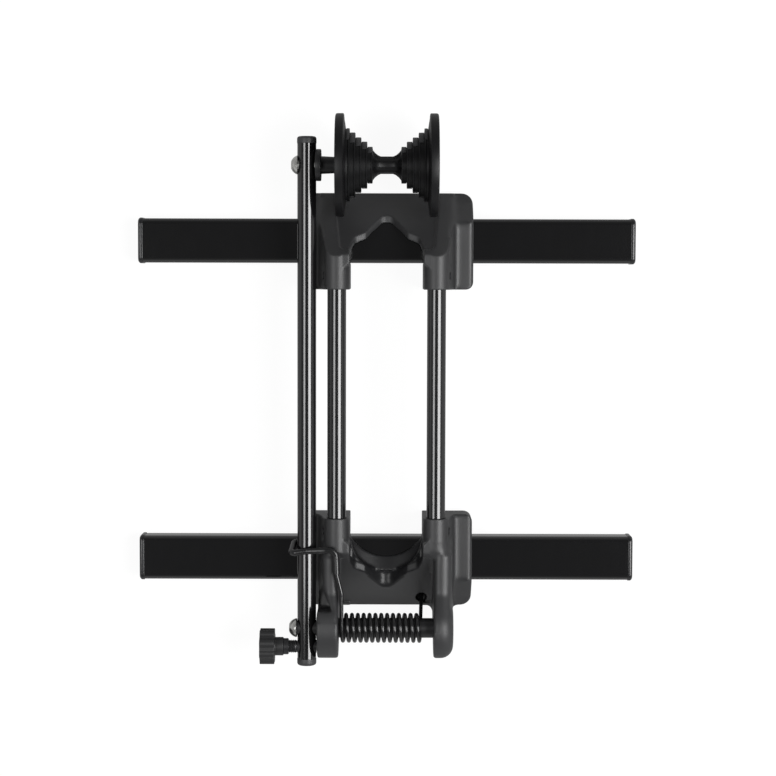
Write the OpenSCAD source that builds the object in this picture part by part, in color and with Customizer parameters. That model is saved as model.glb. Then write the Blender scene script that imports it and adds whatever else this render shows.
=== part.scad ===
// Folding floor stand that holds a bicycle upright by one wheel.
// Two flat legs run left to right and two rods join a cradle on each of them.
// A swing arm on the left carries a V-shaped roller and pivots in the front cradle.
// All sizes are in millimetres. Z is up, X runs along the legs, Y along the wheel.

/* [Legs] */
// Overall length of a leg with its end caps
leg_length = 360; // [300:1:420]
// Width of the leg tube, front to back
leg_width = 32; // [28:0.5:36]
// Height of the leg tube
leg_height = 20; // [18:0.5:22]
// Wall of the leg tube
leg_wall = 1.5; // [1.2:0.1:2.5]
// Outer corner radius of the leg tube
leg_corner = 4; // [3:0.5:5]
// Distance between the centre lines of the two legs
leg_spacing = 231; // [200:1:260]
// Thickness of an end cap outside the tube
cap_face = 3.6; // [3:0.1:6]
// How far an end cap stands proud of the tube all round
cap_proud = 0.5; // [0.3:0.1:1.5]
// Length of the plug that holds an end cap in its tube
cap_plug = 16; // [8:1:24]

/* [Rods] */
// Diameter of a rod
rod_d = 13.4; // [11:0.1:14]
// Wall of a rod
rod_wall = 1.6; // [1.2:0.1:2.5]
// Distance between the two rods
rod_spacing = 71; // [68:1:75]
// Height of the rods, the arm and the axles above the floor
rod_height = 45; // [43:0.5:48]
// Depth of the socket that takes the end of a rod
socket_depth = 21; // [14:1:22]

/* [Cradles] */
// Length of a cradle, front to back
cradle_length = 70; // [66:1:76]
// How much further out the front cradle sits than the rear one
front_shift = 2; // [0:0.1:4]
// Width of a cradle over its wings
cradle_width = 125; // [120:1:132]
// Wall around a rod socket
barrel_wall = 2.5; // [2:0.1:3.4]
// Height of the flat top of a wing
wing_top = 25.5; // [24:0.5:30]
// Width of a wing
wing_width = 14.5; // [12:0.5:16]
// Height of the outer edge of the ramp
lip_height = 4.5; // [3.5:0.5:7]
// Slope of the ramp
ramp_angle = 46; // [44:0.5:48]
// Thickness of the ramp plate, square to its slope
plate_t = 4; // [3:0.5:5]
// Depth of the recessed panel in the ramp
panel_recess = 1.4; // [0.8:0.1:2]
// Height of the lowest point of the tyre notch
notch_floor = 21.8; // [21.5:0.1:25]
// Radius at the bottom of the tyre notch
notch_r = 7.5; // [5:0.5:9]
// Slope of the sides of the narrow part of the notch
notch_angle = 47; // [42:1:52]
// Half width of the narrow part of the notch where its shoulder starts
notch_narrow = 15.2; // [13:0.1:17]
// Half width of the notch between the barrels
notch_wide = 26.2; // [24:0.1:26.3]
// Height of the shoulder above the end of the narrow part
shoulder_rise = 5; // [3:0.5:7]

/* [Ears] */
// Distance from the front leg's centre line to the pivot axle
axle_reach = 46.6; // [44:0.1:52]
// Radius of the ears around the axle
ear_r = 21.5; // [19:0.5:23]
// Inner face of the right ear from the middle
right_ear_in = 34.1; // [33:0.1:35]
// Thickness of the right ear
right_ear_t = 14.1; // [12:0.1:16]
// Inner face of the left ear from the middle
left_ear_in = 34.1; // [33.5:0.1:36]

/* [Arm] */
// Diameter of the arm tube
arm_d = 13.4; // [12:0.1:14]
// Wall of the arm tube
arm_wall = 1.6; // [1.2:0.1:2.2]
// Distance of the arm's centre line from the middle
arm_x = 56.8; // [56:0.1:60]
// Gap between the roller and the ramp that it lies over when the arm is flat
roller_gap = 4.6; // [3:0.1:30]
// Length of the arm past the roller axle, with its cap
arm_head = 20.2; // [16:0.1:26]
// Length of the arm past the pivot axle, with its cap
arm_tail = 26.9; // [26.5:0.1:32]
// Length of an arm cap outside the tube
arm_cap_t = 5; // [3:0.1:6]
// Diameter of the two cross bolts
bolt_d = 8; // [6:0.5:8]
// Diameter of a domed bolt head
head_d = 13.6; // [12:0.1:15]
// Height of the pivot bolt's domed head
head_h = 5.8; // [4:0.1:6]
// Height of the roller bolt's domed head
roller_head_h = 5.2; // [3:0.1:6]

/* [Roller] */
// Radius of the roller's two flanges
roller_r = 36.5; // [34:0.1:39]
// Overall width of the roller
roller_width = 73; // [72:0.5:76]
// Width of a flange rim
rim_width = 6.4; // [5:0.1:8]
// Radius of the neck at the bottom of the V
neck_r = 5.6; // [5.3:0.1:8]
// Bore of the roller's hub, which takes the bushes
hub_bore = 11; // [10.5:0.1:11.5]

/* [Spring] */
// Wire diameter of the torsion spring
wire_d = 2.8; // [2:0.05:3]
// Mean radius of the coil
coil_r = 9.35; // [9:0.05:10]
// Pitch of the coil
coil_pitch = 4.21; // [3.6:0.01:4.22]
// Whole turns of the coil
coil_turns = 13; // [10:1:13]
// Outer diameter of the sleeve inside the coil
sleeve_d = 14.1; // [12:0.1:15]
// Outer diameter of the shrink sleeve on the long leg of the spring
shrink_d = 4.6; // [4:0.1:4.6]

/* [Lock plunger] */
// Distance from the pivot axle to the plunger
plunger_reach = 13.5; // [13:0.1:14.5]
// Diameter of the locking pin
pin_d = 6; // [4:0.5:6]
// Travel of the pin from parked to locked
pin_travel = 5.5; // [4:0.5:6]
// Diameter of the lobed knob
knob_d = 26; // [20:0.5:28]
// Thickness of the lobed knob
knob_t = 10.5; // [8:0.5:13]
// Number of lobes on the knob
knob_lobes = 8; // [6:1:10]

/* [Hidden] */
$fn = 64;

// Running fit on a radius, gap between fixed pieces, and gap beside a moving piece
fit = 0.05;
seat_gap = 0.1;
side_gap = 0.3;

// Colours
gloss_black = "#17181a";
matte_black = "#3a3b3d";
satin_black = "#2a2b2d";
chrome = "#c9c9c7";
steel = "#9a9c9e";

// Main places, with Y measured from the middle between the legs
leg_y = leg_spacing / 2;
leg_base = cap_proud;
leg_top = leg_base + leg_height;
cradle_in = leg_y - cradle_length / 2;
cradle_out = leg_y + cradle_length / 2;
cradle_base = 1.5;
front_out = cradle_out + front_shift;
half_width = cradle_width / 2;
rod_x = rod_spacing / 2;
barrel_r = rod_d / 2 + barrel_wall;
axle_y = -(leg_y + axle_reach);
roller_y = cradle_out
    + (roller_r + roller_gap - (rod_height - lip_height) * cos(ramp_angle)) / sin(ramp_angle);
left_ear_out = arm_x - arm_d / 2 - 1;
arm_left = -arm_x - arm_d / 2;
arm_right = -arm_x + arm_d / 2;

// The whole is moved along Y so that its box is centred on the origin
y_low = min(axle_y - arm_tail, axle_y - ear_r);
y_high = max(roller_y + roller_r, roller_y + arm_head);
shift_y = -(y_low + y_high) / 2;

// Ramp plane: its height at a distance out from the middle
function ramp_z(v, lift = 0) =
    lip_height + (cradle_out - v) * tan(ramp_angle) + lift / cos(ramp_angle);
// Distance out at which the ramp plane has a height
function ramp_v(z, lift = 0) =
    cradle_out - (z - lip_height - lift / cos(ramp_angle)) / tan(ramp_angle);

function unit(v) = v / norm(v);
// Points of an arc from angle a0 to a1
function arc(cx, cy, r, a0, a1, n = 8) =
    [for (i = [0:n]) [cx + r * cos(a0 + (a1 - a0) * i / n), cy + r * sin(a0 + (a1 - a0) * i / n)]];
// A rectangle with round corners, centred
function round_rect(w, h, r, n = 6) = concat(
    arc(w / 2 - r, h / 2 - r, r, 0, 90, n), arc(r - w / 2, h / 2 - r, r, 90, 180, n),
    arc(r - w / 2, r - h / 2, r, 180, 270, n), arc(w / 2 - r, r - h / 2, r, 270, 360, n));
// Mirror image of an outline about X = 0, in reverse order
function mirrored(p) = [for (i = [len(p) - 1:-1:0]) [-p[i][0], p[i][1]]];
// Point where a line from p touches a circle, on the right-hand side as seen from p
function tangent(p, c, r) =
    let (d = norm(c - p), a = atan2(c[1] - p[1], c[0] - p[0]) - asin(r / d), l = sqrt(d * d - r * r))
    [p[0] + l * cos(a), p[1] + l * sin(a)];

// Prism along X from an outline in Y and Z
module along_x(x0, x1)
    translate([x0, 0, 0]) rotate([90, 0, 90]) linear_extrude(x1 - x0) children();
// Prism along Y from an outline in X and Z
module along_y(y0, y1)
    translate([0, y1, 0]) rotate([90, 0, 0]) linear_extrude(y1 - y0) children();
// Round bar along X
module bar_x(x0, x1, r) translate([x0, 0, 0]) rotate([0, 90, 0]) cylinder(h = x1 - x0, r = r);
// Round bar along Y
module bar_y(y0, y1, r) translate([0, y0, 0]) rotate([-90, 0, 0]) cylinder(h = y1 - y0, r = r);
module both_sides() for (side = [0, 1]) mirror([side, 0, 0]) children();
// Everything is drawn about the middle between the legs and then centred
module centred(c) color(c) translate([0, shift_y, 0]) children();
module at_axle() translate([0, axle_y, rod_height]) children();
module at_roller() translate([0, roller_y, rod_height]) children();
module at_plunger() translate([0, axle_y - plunger_reach, rod_height]) children();

// Legs
module leg_section(inset = 0)
    polygon(round_rect(leg_width - 2 * inset, leg_height - 2 * inset, max(leg_corner - inset, 1)));

screw_x = rod_x + 3;
screw_d = 5;
screw_head_d = 9.5;
screw_head_h = 4;
screw_bite = 13;
module leg_tube(y) {
    tube_end = leg_length / 2 - cap_face;
    translate([0, y, leg_base + leg_height / 2])
        difference() {
            along_x(-tube_end, tube_end) leg_section();
            along_x(-tube_end - 1, tube_end + 1) leg_section(leg_wall);
            both_sides() {
                translate([screw_x, 0, 0]) cylinder(h = leg_height, d = screw_d + 2 * seat_gap);
                translate([screw_x, 0, -leg_height]) cylinder(h = leg_height, d = screw_head_d + 2);
            }
        }
}
module rear_leg_tube() centred(gloss_black) leg_tube(leg_y);
module front_leg_tube() centred(gloss_black) leg_tube(-leg_y);

// Push-in end cap with a crowned face
cap_round = 2.2;
module leg_cap(side, y) {
    centred(satin_black)
        translate([0, y, leg_base + leg_height / 2]) mirror([side < 0 ? 1 : 0, 0, 0]) {
            hull() {
                along_x(leg_length / 2 - cap_face, leg_length / 2 - cap_round) leg_section(-cap_proud);
                along_x(leg_length / 2 - cap_round, leg_length / 2 - cap_round * 0.3)
                    leg_section(cap_round * 0.3 - cap_proud);
                along_x(leg_length / 2 - cap_round, leg_length / 2) leg_section(cap_round - cap_proud);
            }
            along_x(leg_length / 2 - cap_face - cap_plug, leg_length / 2 - cap_face)
                leg_section(leg_wall + seat_gap);
        }
}
module rear_left_leg_cap() leg_cap(-1, leg_y);
module rear_right_leg_cap() leg_cap(1, leg_y);
module front_left_leg_cap() leg_cap(-1, -leg_y);
module front_right_leg_cap() leg_cap(1, -leg_y);

// Rods that join the two cradles
rod_end = cradle_in + socket_depth - seat_gap;
module rod(x)
    centred(gloss_black) translate([x, 0, rod_height])
        difference() {
            bar_y(-rod_end, rod_end, rod_d / 2);
            bar_y(-rod_end - 1, rod_end + 1, rod_d / 2 - rod_wall);
        }
module left_rod() rod(-rod_x);
module right_rod() rod(rod_x);

// Cradle, drawn with its outer side towards +Y
valley_x = half_width - wing_width;
wing_round = 3;
corner_in = 5.5;
corner_out = 8;
cheek_top = rod_height + barrel_r;
// Side view of the block: flat wings, then a slope down to the outer edge
wing_slope_start = ramp_v(wing_top) - 1.5;
module wing_side() polygon([
    [cradle_in, cradle_base], [cradle_in, wing_top], [wing_slope_start, wing_top],
    [cradle_out - 7, lip_height + 5], [cradle_out, lip_height], [cradle_out, cradle_base]]);
// End view of a wing, with a round outer top edge
module wing_end() polygon(concat(
    [[valley_x - 4, cradle_base], [valley_x - 4, wing_top], [half_width - wing_round, wing_top]],
    arc(half_width - wing_round, wing_top - wing_round, wing_round, 90, 0, 6),
    [[half_width, cradle_base]]));
// Corners of the block in plan
module cradle_plan() polygon(concat(
    arc(half_width - corner_out, cradle_out - corner_out, corner_out, 0, 90),
    arc(corner_out - half_width, cradle_out - corner_out, corner_out, 90, 180),
    arc(corner_in - half_width, cradle_in + corner_in, corner_in, 180, 270),
    arc(half_width - corner_in, cradle_in + corner_in, corner_in, 270, 360)));
// End view of a cheek: web, barrel top and a flank down to the valley
flank_low = wing_top + 0.5;
module cheek_end() {
    translate([rod_x, rod_height]) circle(r = barrel_r);
    polygon([
        [rod_x - barrel_r, cradle_base], [rod_x - barrel_r, rod_height],
        [rod_x + barrel_r, rod_height], [valley_x + 1, flank_low], [valley_x + 1, cradle_base]]);
}
module cheek_side() polygon([
    [cradle_in, cradle_base], [cradle_in, cheek_top + 1],
    [ramp_v(cheek_top + 1, panel_recess), cheek_top + 1],
    [cradle_out, ramp_z(cradle_out, panel_recess)], [cradle_out, cradle_base]]);
// Flat-topped block that carries the barrel over into the ramp
block_start = cradle_in + 13;
block_slant = 5.5;
module cheek_block()
    intersection() {
        linear_extrude(cheek_top - 1) polygon([
            [rod_x - barrel_r, block_start + block_slant], [rod_x - 3, block_start],
            [rod_x + 3, block_start], [rod_x + 3, cradle_out], [rod_x - barrel_r, cradle_out]]);
        along_x(rod_x - barrel_r, rod_x + 3) cheek_side();
    }
// Ramp plate between the cheeks
plate_v = plate_t / sin(ramp_angle);
plate_high = rod_height + 4;
module ramp_side() polygon([
    [cradle_out - plate_v + (lip_height - cradle_base) / tan(ramp_angle), cradle_base],
    [ramp_v(plate_high) - plate_v, plate_high], [ramp_v(plate_high), plate_high],
    [cradle_out, lip_height], [cradle_out, cradle_base]]);
// Recessed panel: a tapered outline with two lobes that reach up beside the notch
panel_out = rod_x + 2.5;
panel_in = rod_x - 1.5;
panel_top = cradle_in + 28.5;
panel_edge = cradle_out - 2.4;
lobe_r = 4;
module panel_plan() polygon(concat(
    [[panel_out, panel_edge], [-panel_out, panel_edge]],
    arc(lobe_r - panel_in, panel_top + lobe_r, lobe_r, 180, 270, 5),
    arc(panel_in - lobe_r, panel_top + lobe_r, lobe_r, 270, 360, 5)));
module panel_cut()
    intersection() {
        linear_extrude(cheek_top + 30) panel_plan();
        along_x(-panel_out, panel_out) polygon([
            [cradle_in, ramp_z(cradle_in)], [cradle_out + 10, ramp_z(cradle_out + 10)],
            [cradle_out + 10, cheek_top + 40], [cradle_in, cheek_top + 40]]);
    }
// Tyre notch seen from the end: a narrow V, a shoulder and a wide part
notch_touch = [notch_r * sin(notch_angle), notch_floor + notch_r * (1 - cos(notch_angle))];
narrow_top = notch_touch[1] + (notch_narrow - notch_touch[0]) * tan(notch_angle);
shoulder_out = notch_wide - 3;
notch_half = concat(
    arc(0, notch_floor + notch_r, notch_r, 270, 270 + notch_angle, 6),
    [[notch_narrow, narrow_top]],
    arc(shoulder_out - 4, narrow_top + shoulder_rise + 2, 5, 300, 340, 4),
    [[notch_wide, narrow_top + shoulder_rise + 6], [notch_wide, cheek_top + 30]]);
module notch_end() polygon(concat(notch_half, mirrored(notch_half)));

set_screw_v = cradle_in + 10;
set_screw_z = rod_height - 3;
set_screw_d = 5;
module cradle_solid()
    difference() {
        cradle_block();
        panel_cut();
    }
module cradle_block()
    intersection() {
        union() {
            along_x(-rod_x, rod_x) ramp_side();
            both_sides() {
                intersection() {
                    along_x(valley_x - 4, half_width) wing_side();
                    along_y(cradle_in, cradle_out) wing_end();
                }
                intersection() {
                    along_x(rod_x - barrel_r, valley_x + 1) cheek_side();
                    along_y(cradle_in, cradle_out) cheek_end();
                }
                cheek_block();
            }
        }
        linear_extrude(cheek_top + 30) cradle_plan();
    }
// Everything that is cut out of a cradle that sits further out by a shift
pocket_wall = 3;
mouth_step = 0.7;
module cradle_cuts(shift = 0) {
    inner = cradle_in + shift;
    pocket_length = leg_y - leg_width / 2 - inner - 2 * pocket_wall;
    along_y(cradle_in - 1, cradle_out + shift + 1) notch_end();
    // seat of the leg
    translate([0, leg_y, leg_top - leg_height + seat_gap / 2])
        cube([cradle_width + 2, leg_width + 2 * seat_gap, 2 * leg_height], true);
    both_sides() {
        translate([rod_x, 0, rod_height]) {
            bar_y(cradle_in - 1, cradle_in + socket_depth, rod_d / 2 + fit);
            bar_y(cradle_in - 1, inner + 1, rod_d / 2 + mouth_step);
        }
        translate([screw_x, leg_y, leg_top - 1])
            cylinder(h = screw_bite + 2, d = screw_d + 2 * fit);
        translate([0, set_screw_v + shift, set_screw_z])
            bar_x(rod_x + 4, valley_x + 6, set_screw_d / 2 + fit);
        // hollows under the wing, the barrel and the outer slope
        translate([valley_x + pocket_wall - 1, inner + pocket_wall, -1])
            cube([wing_width - 2 * pocket_wall + 1, pocket_length, wing_top - 2]);
        translate([rod_x - barrel_r + pocket_wall, inner + pocket_wall, -1])
            cube([2 * barrel_r - 2 * pocket_wall, pocket_length, rod_height - barrel_r - 2]);
    }
    translate([0, shift, 0]) along_x(pocket_wall - half_width, half_width - pocket_wall) polygon([
        [leg_y + leg_width / 2 + pocket_wall, -1], [ramp_v(-1) - 2 * plate_v, -1],
        [leg_y + leg_width / 2 + pocket_wall, ramp_z(leg_y + leg_width / 2 + pocket_wall + 2 * plate_v)]]);
}
module rear_cradle()
    centred(matte_black)
        difference() {
            cradle_solid();
            cradle_cuts();
        }

// Front cradle: ridges run straight out to the two ears that hold the axle
axle_v = leg_y + axle_reach;
boss_rise = ear_r - 3;
boss_start = axle_v - sqrt(ear_r * ear_r - boss_rise * boss_rise);
ridge_start = leg_y - 17;
ridge_full = leg_y - 3;
ridge_climb = boss_start - 15;
// Side view of the web that carries an ear past the ramp
module ear_web() polygon([
    [ridge_climb, cradle_base], [front_out, cradle_base],
    tangent([front_out, cradle_base], [axle_v, rod_height], ear_r),
    [axle_v, rod_height], [ridge_climb, rod_height]]);
// End view of a ridge: upright inner face, round crest, sloping outer flank
ridge_round = 4;
ridge_back = 6;
module ridge_end(x_in, top = cheek_top) polygon(concat(
    [[x_in, cradle_base]],
    arc(x_in + ridge_round, top - ridge_round, ridge_round, 180, 90, 5),
    arc(x_in + ridge_back, top - ridge_back, ridge_back, 90, 20, 5),
    [[valley_x + 1, flank_low], [valley_x + 1, cradle_base]]));
// Disc of an ear, turned about the axle, with a rounded outer rim
module ear_disc(x_in, x_out, rim)
    rotate([0, 90, 0]) rotate_extrude($fn = 96) polygon(concat(
        [[0, x_in]], [[ear_r - 1, x_in], [ear_r, x_in + 1]],
        arc(ear_r - rim, x_out - rim, rim, 0, 90, 8),
        [[0, x_out]]));
// Ear with its ridge, which grows out of the barrel and climbs to the ear
slice = 0.1;
module ear(x_in, x_out, rim) {
    hull() {
        along_y(ridge_start, ridge_start + slice) ridge_end(x_in, cheek_top - 5);
        along_y(ridge_full, ridge_full + slice) ridge_end(x_in);
    }
    along_y(ridge_full, ridge_climb) ridge_end(x_in);
    hull() {
        along_y(ridge_climb - slice, ridge_climb) ridge_end(x_in);
        along_y(boss_start - slice, boss_start) ridge_end(x_in, rod_height + boss_rise - 0.4);
    }
    along_x(x_in, x_out - rim / 2) ear_web();
    translate([0, axle_v, rod_height]) ear_disc(x_in, x_out, rim);
}
// Recess on the outer side of the left ridge, which leaves a narrow neck in front of the ear
recess_floor = rod_height - 5;
module left_recess()
    translate([0, 0, recess_floor]) linear_extrude(ear_r + 10) polygon([
        [left_ear_in + 11, leg_y], [left_ear_in + 11, axle_v - 31], [left_ear_in + 4.5, axle_v - 14],
        [left_ear_out + 1, axle_v - 14], [left_ear_out + 1, leg_y]]);
// Saddle between the barrels: a crescent over the leg whose top is scooped for the tyre
saddle_mouth = cradle_in + 17;
saddle_dip = leg_y - 2;
saddle_back = leg_y + 8.5;
saddle_half = notch_wide + 0.5;
function chord_r(half, dip) = (half * half + dip * dip) / (2 * dip);
front_r = chord_r(saddle_half, saddle_dip - saddle_mouth);
back_r = chord_r(saddle_half, saddle_back - saddle_mouth);
scoop_angle = 20;
scoop_r = 40;
module wheel_saddle()
    difference() {
        intersection() {
            translate([-saddle_half, saddle_mouth, leg_top]) cube([2 * saddle_half, 30, 22]);
            translate([0, saddle_back - back_r, 0]) cylinder(h = 60, r = back_r, $fn = 96);
        }
        translate([0, saddle_dip - front_r, 0]) cylinder(h = 60, r = front_r, $fn = 96);
        translate([0, saddle_dip, leg_top + 1 + scoop_r / cos(scoop_angle)]) rotate([scoop_angle, 0, 0])
            translate([0, -60, 0]) bar_y(0, 120, scoop_r, $fn = 96);
    }
// Channel that leads from the saddle to the notch, a little lower than the notch
channel_drop = 0.9;
channel_top = leg_top + 19;
module wheel_channel()
    intersection() {
        difference() {
            translate([-saddle_half, saddle_mouth, leg_top])
                cube([2 * saddle_half, front_out - saddle_mouth, channel_top - leg_top]);
            translate([0, 0, -channel_drop]) along_y(cradle_in, front_out + 10) notch_end();
            translate([0, saddle_back - back_r, -1]) cylinder(h = 60, r = back_r - 1, $fn = 96);
        }
        translate([0, front_shift - plate_v / 2, 0]) along_x(-saddle_half - 1, saddle_half + 1) polygon([
            [cradle_in, cradle_base], [cradle_in, plate_high], [ramp_v(plate_high), plate_high],
            [ramp_v(cradle_base), cradle_base]]);
    }
spring_hole_x = 26;
spring_hole_v = front_out - 7;
spring_hole_d = 8;
spring_hole_floor = 3;
// Solid post under the ramp around the hole for the spring's short leg
module spring_post()
    intersection() {
        translate([spring_hole_x, spring_hole_v, cradle_base])
            cylinder(h = leg_height, r = spring_hole_d / 2 + pocket_wall);
        translate([0, front_shift, 0]) along_x(0, half_width) polygon([
            [leg_y, cradle_base], [leg_y, ramp_z(leg_y, -plate_t / 2)],
            [cradle_out, ramp_z(cradle_out, -plate_t / 2)]]);
    }
// Hole for the pin with the arm flat, and an arc slot that it may enter with the arm up
lock_depth = pin_travel + 1.5;
slot_from = 75;
arm_swing = 130;
slot_r = pin_d / 2 + side_gap;
slot_low = 90 - arm_swing;
slot_high = 90 - slot_from;
module slot_plan() polygon(concat(
    arc(0, 0, plunger_reach + slot_r, slot_low, slot_high, 14),
    arc(plunger_reach * cos(slot_high), plunger_reach * sin(slot_high), slot_r, slot_high + 20, slot_high + 160),
    arc(0, 0, plunger_reach - slot_r, slot_high, slot_low, 10),
    arc(plunger_reach * cos(slot_low), plunger_reach * sin(slot_low), slot_r, slot_low + 200, slot_low + 340)));
module lock_slot()
    translate([-1, 0, 0]) rotate([0, 90, 0]) {
        translate([0, plunger_reach, 0]) cylinder(h = lock_depth + 1, r = slot_r);
        linear_extrude(lock_depth + 1) slot_plan();
    }
nut_af = 13;
nut_pocket = 8;
right_ear_out = right_ear_in + right_ear_t;
module front_cradle()
    centred(matte_black) mirror([0, 1, 0])
        difference() {
            union() {
                difference() {
                    union() {
                        translate([0, front_shift, 0]) cradle_solid();
                        ear(right_ear_in, right_ear_out, 9);
                        mirror([1, 0, 0]) difference() {
                            ear(left_ear_in, left_ear_out, 1.2);
                            left_recess();
                        }
                    }
                    cradle_cuts(front_shift);
                }
                wheel_saddle();
                wheel_channel();
                spring_post();
            }
            translate([0, axle_v, rod_height]) {
                bar_x(-left_ear_out - 1, right_ear_out + 1, bolt_d / 2 + fit);
                bar_x(right_ear_out - nut_pocket, right_ear_out + 1, nut_af / 2 + 1.2);
                translate([-left_ear_out, 0, 0]) lock_slot();
            }
            translate([spring_hole_x, spring_hole_v, spring_hole_floor])
                cylinder(h = leg_height, d = spring_hole_d);
        }

// Four screws that come up through the legs into the cradles
module leg_screws()
    centred(steel)
        for (y = [-leg_y, leg_y]) both_sides() translate([screw_x, y, leg_top]) {
            translate([0, 0, -leg_wall - screw_head_h])
                difference() {
                    cylinder(h = screw_head_h, d = screw_head_d);
                    translate([0, 0, -1]) cylinder(h = screw_head_h - 0.5, d = 4.6, $fn = 6);
                }
            translate([0, 0, -leg_wall - 0.5]) cylinder(h = screw_bite + leg_wall + 0.5, d = screw_d);
        }
// Four grub screws that hold the rods in their sockets
set_screw_tip = rod_x + rod_d / 2 + 0.1;
module rod_set_screws()
    centred(steel)
        for (y = [-set_screw_v - front_shift, set_screw_v]) both_sides() translate([0, y, set_screw_z])
            difference() {
                bar_x(set_screw_tip, set_screw_tip + 3.2, set_screw_d / 2);
                translate([set_screw_tip + 1.2, 0, 0]) rotate([0, 90, 0])
                    cylinder(h = 4, d = 2.6, $fn = 6);
            }

// Domed bolt whose head is at x_head and whose shank reaches x_end
module domed_bolt(x_head, x_end, rise) {
    dome_r = (head_d * head_d / 4 + rise * rise) / (2 * rise);
    difference() {
        intersection() {
            translate([x_head - rise + dome_r, 0, 0]) sphere(r = dome_r, $fn = 96);
            bar_x(x_head - rise, x_head, head_d / 2);
        }
        translate([x_head - rise - 1, 0, 0]) rotate([0, 90, 0]) cylinder(h = 4, d = 5, $fn = 6);
    }
    bar_x(x_head - 0.5, x_end, bolt_d / 2);
}
module hex_nut(x0, h)
    difference() {
        translate([x0, 0, 0]) rotate([0, 90, 0]) cylinder(h = h, d = nut_af / cos(30), $fn = 6);
        bar_x(x0 - 1, x0 + h + 1, bolt_d / 2 + fit);
    }

// Pivot of the arm
pivot_head_x = arm_left - 1;
nut_seat = right_ear_out - nut_pocket;
module pivot_bolt() centred(chrome) at_axle() domed_bolt(pivot_head_x, right_ear_out - 0.6, head_h);
module pivot_nut() centred(steel) at_axle() hex_nut(nut_seat + seat_gap, nut_pocket - 1.4);
bush_wall = 1.2;
washer_t = 0.7;
module pivot_bushing()
    centred(satin_black) at_axle()
        difference() {
            union() {
                bar_x(pivot_head_x, arm_left - side_gap, head_d / 2 - 0.3);
                bar_x(pivot_head_x, -left_ear_out - washer_t, bolt_d / 2 + bush_wall);
            }
            bar_x(pivot_head_x - 1, -left_ear_out, bolt_d / 2 + fit);
        }
module pivot_washer()
    centred(satin_black) at_axle()
        difference() {
            bar_x(-left_ear_out - washer_t, -left_ear_out, bolt_d / 2 + 4);
            bar_x(-left_ear_out - washer_t - 1, -left_ear_out + 1, bolt_d / 2 + fit);
        }
module spring_core_sleeve()
    centred(satin_black) at_axle()
        difference() {
            bar_x(seat_gap - left_ear_in, right_ear_in - seat_gap, sleeve_d / 2);
            bar_x(-left_ear_in - 1, right_ear_in + 1, bolt_d / 2 + seat_gap);
        }

// Torsion spring: one wire from the hook on the arm, along the left ear,
// round the axle and down into the ramp
rings_per_turn = 8;
wire_sides = 6;
coil_start = wire_d / 2 + 1.05 - left_ear_in;
hole_dy = axle_v - spring_hole_v;
hole_dz = rod_height - 9;
// Angle at which the coil leaves straight towards the hole in the ramp
leave = 360 - atan2(hole_dz, hole_dy) - acos(coil_r / norm([hole_dy, hole_dz]));
coil_angle = 360 * coil_turns + leave - 90;
coil_rings = ceil(coil_angle / 360 * rings_per_turn);
function coil_point(a) = [
    coil_start + coil_pitch * a / 360,
    axle_y + coil_r * cos(90 + a), rod_height + coil_r * sin(90 + a)];
coil_path = [for (i = [0:coil_rings]) coil_point(coil_angle * i / coil_rings)];
coil_end = coil_path[coil_rings];
over_arm = rod_height + arm_d / 2 + shrink_d / 2 + 0.3;
over_barrel = cheek_top + shrink_d / 2 + 0.35;
arm_side = -arm_x - arm_d / 2 - shrink_d / 2 - 1.8;
cross_y = -leg_y + 10.9;
// Corners of the long leg, from the hook's tip to the coil, each with its bend radius
lever = [
    [[1 - arm_x - 5, cross_y + 4, rod_height - 9.4], 0],
    [[arm_side + 1.4, cross_y + 3, rod_height - 8], 3.5],
    [[arm_side, cross_y - 2.6, over_arm - 0.7], 3.5],
    [[-arm_x, cross_y - 0.8, over_arm], 8],
    [[-rod_x - 8, cross_y, over_barrel], 8],
    [[-rod_x - 0.2, cross_y + 0.8, over_barrel], 5],
    [[-rod_x + 0.4, -leg_y - 6, over_barrel - 0.1], 12],
    [[coil_start, -leg_y - 20, over_barrel - 0.9], 12],
    [[coil_start, axle_y, rod_height + coil_r], 0]];
// Points of a bend at corner i of a route
function bend(route, i, n = 4) =
    let (c = route[i][0], a = unit(route[i - 1][0] - c), b = unit(route[i + 1][0] - c),
         half = acos(max(-1, min(1, a * b))) / 2, cut = route[i][1] / tan(half),
         m = c + unit(a + b) * route[i][1] / sin(half), p = c + a * cut, q = c + b * cut)
    [for (k = [0:n]) m + route[i][1] * unit(unit((p - m) * (n - k) + (q - m) * k))];
function route_points(route) = concat(
    [route[0][0]],
    [for (i = [1:len(route) - 2]) each bend(route, i)]);
lever_path = route_points(lever);
lever_last = len(lever_path) - 1;
short_leg_end = [spring_hole_x, axle_y + hole_dy, rod_height - hole_dz];
spring_path = concat(lever_path, [for (i = [0:coil_rings - 1]) coil_path[i]], [
    coil_end, coil_end + (short_leg_end - coil_end) * 0.5, short_leg_end,
    short_leg_end + unit(short_leg_end - coil_end) * wire_d]);

function tangents(p) = [for (i = [0:len(p) - 1]) unit(
    i == 0 ? p[1] - p[0]
    : i == len(p) - 1 ? p[i] - p[i - 1]
    : unit(p[i + 1] - p[i]) + unit(p[i] - p[i - 1]))];
function square_to(n, t) = unit(n - t * (n * t));
// Side directions carried along a path without twist
function carried(t, i = 1, n = undef) =
    let (n0 = n == undef ? [square_to(abs(t[0][2]) < 0.9 ? [0, 0, 1] : [1, 0, 0], t[0])] : n)
    i >= len(t) ? n0 : carried(t, i + 1, concat(n0, [square_to(n0[i - 1], t[i])]));
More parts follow.
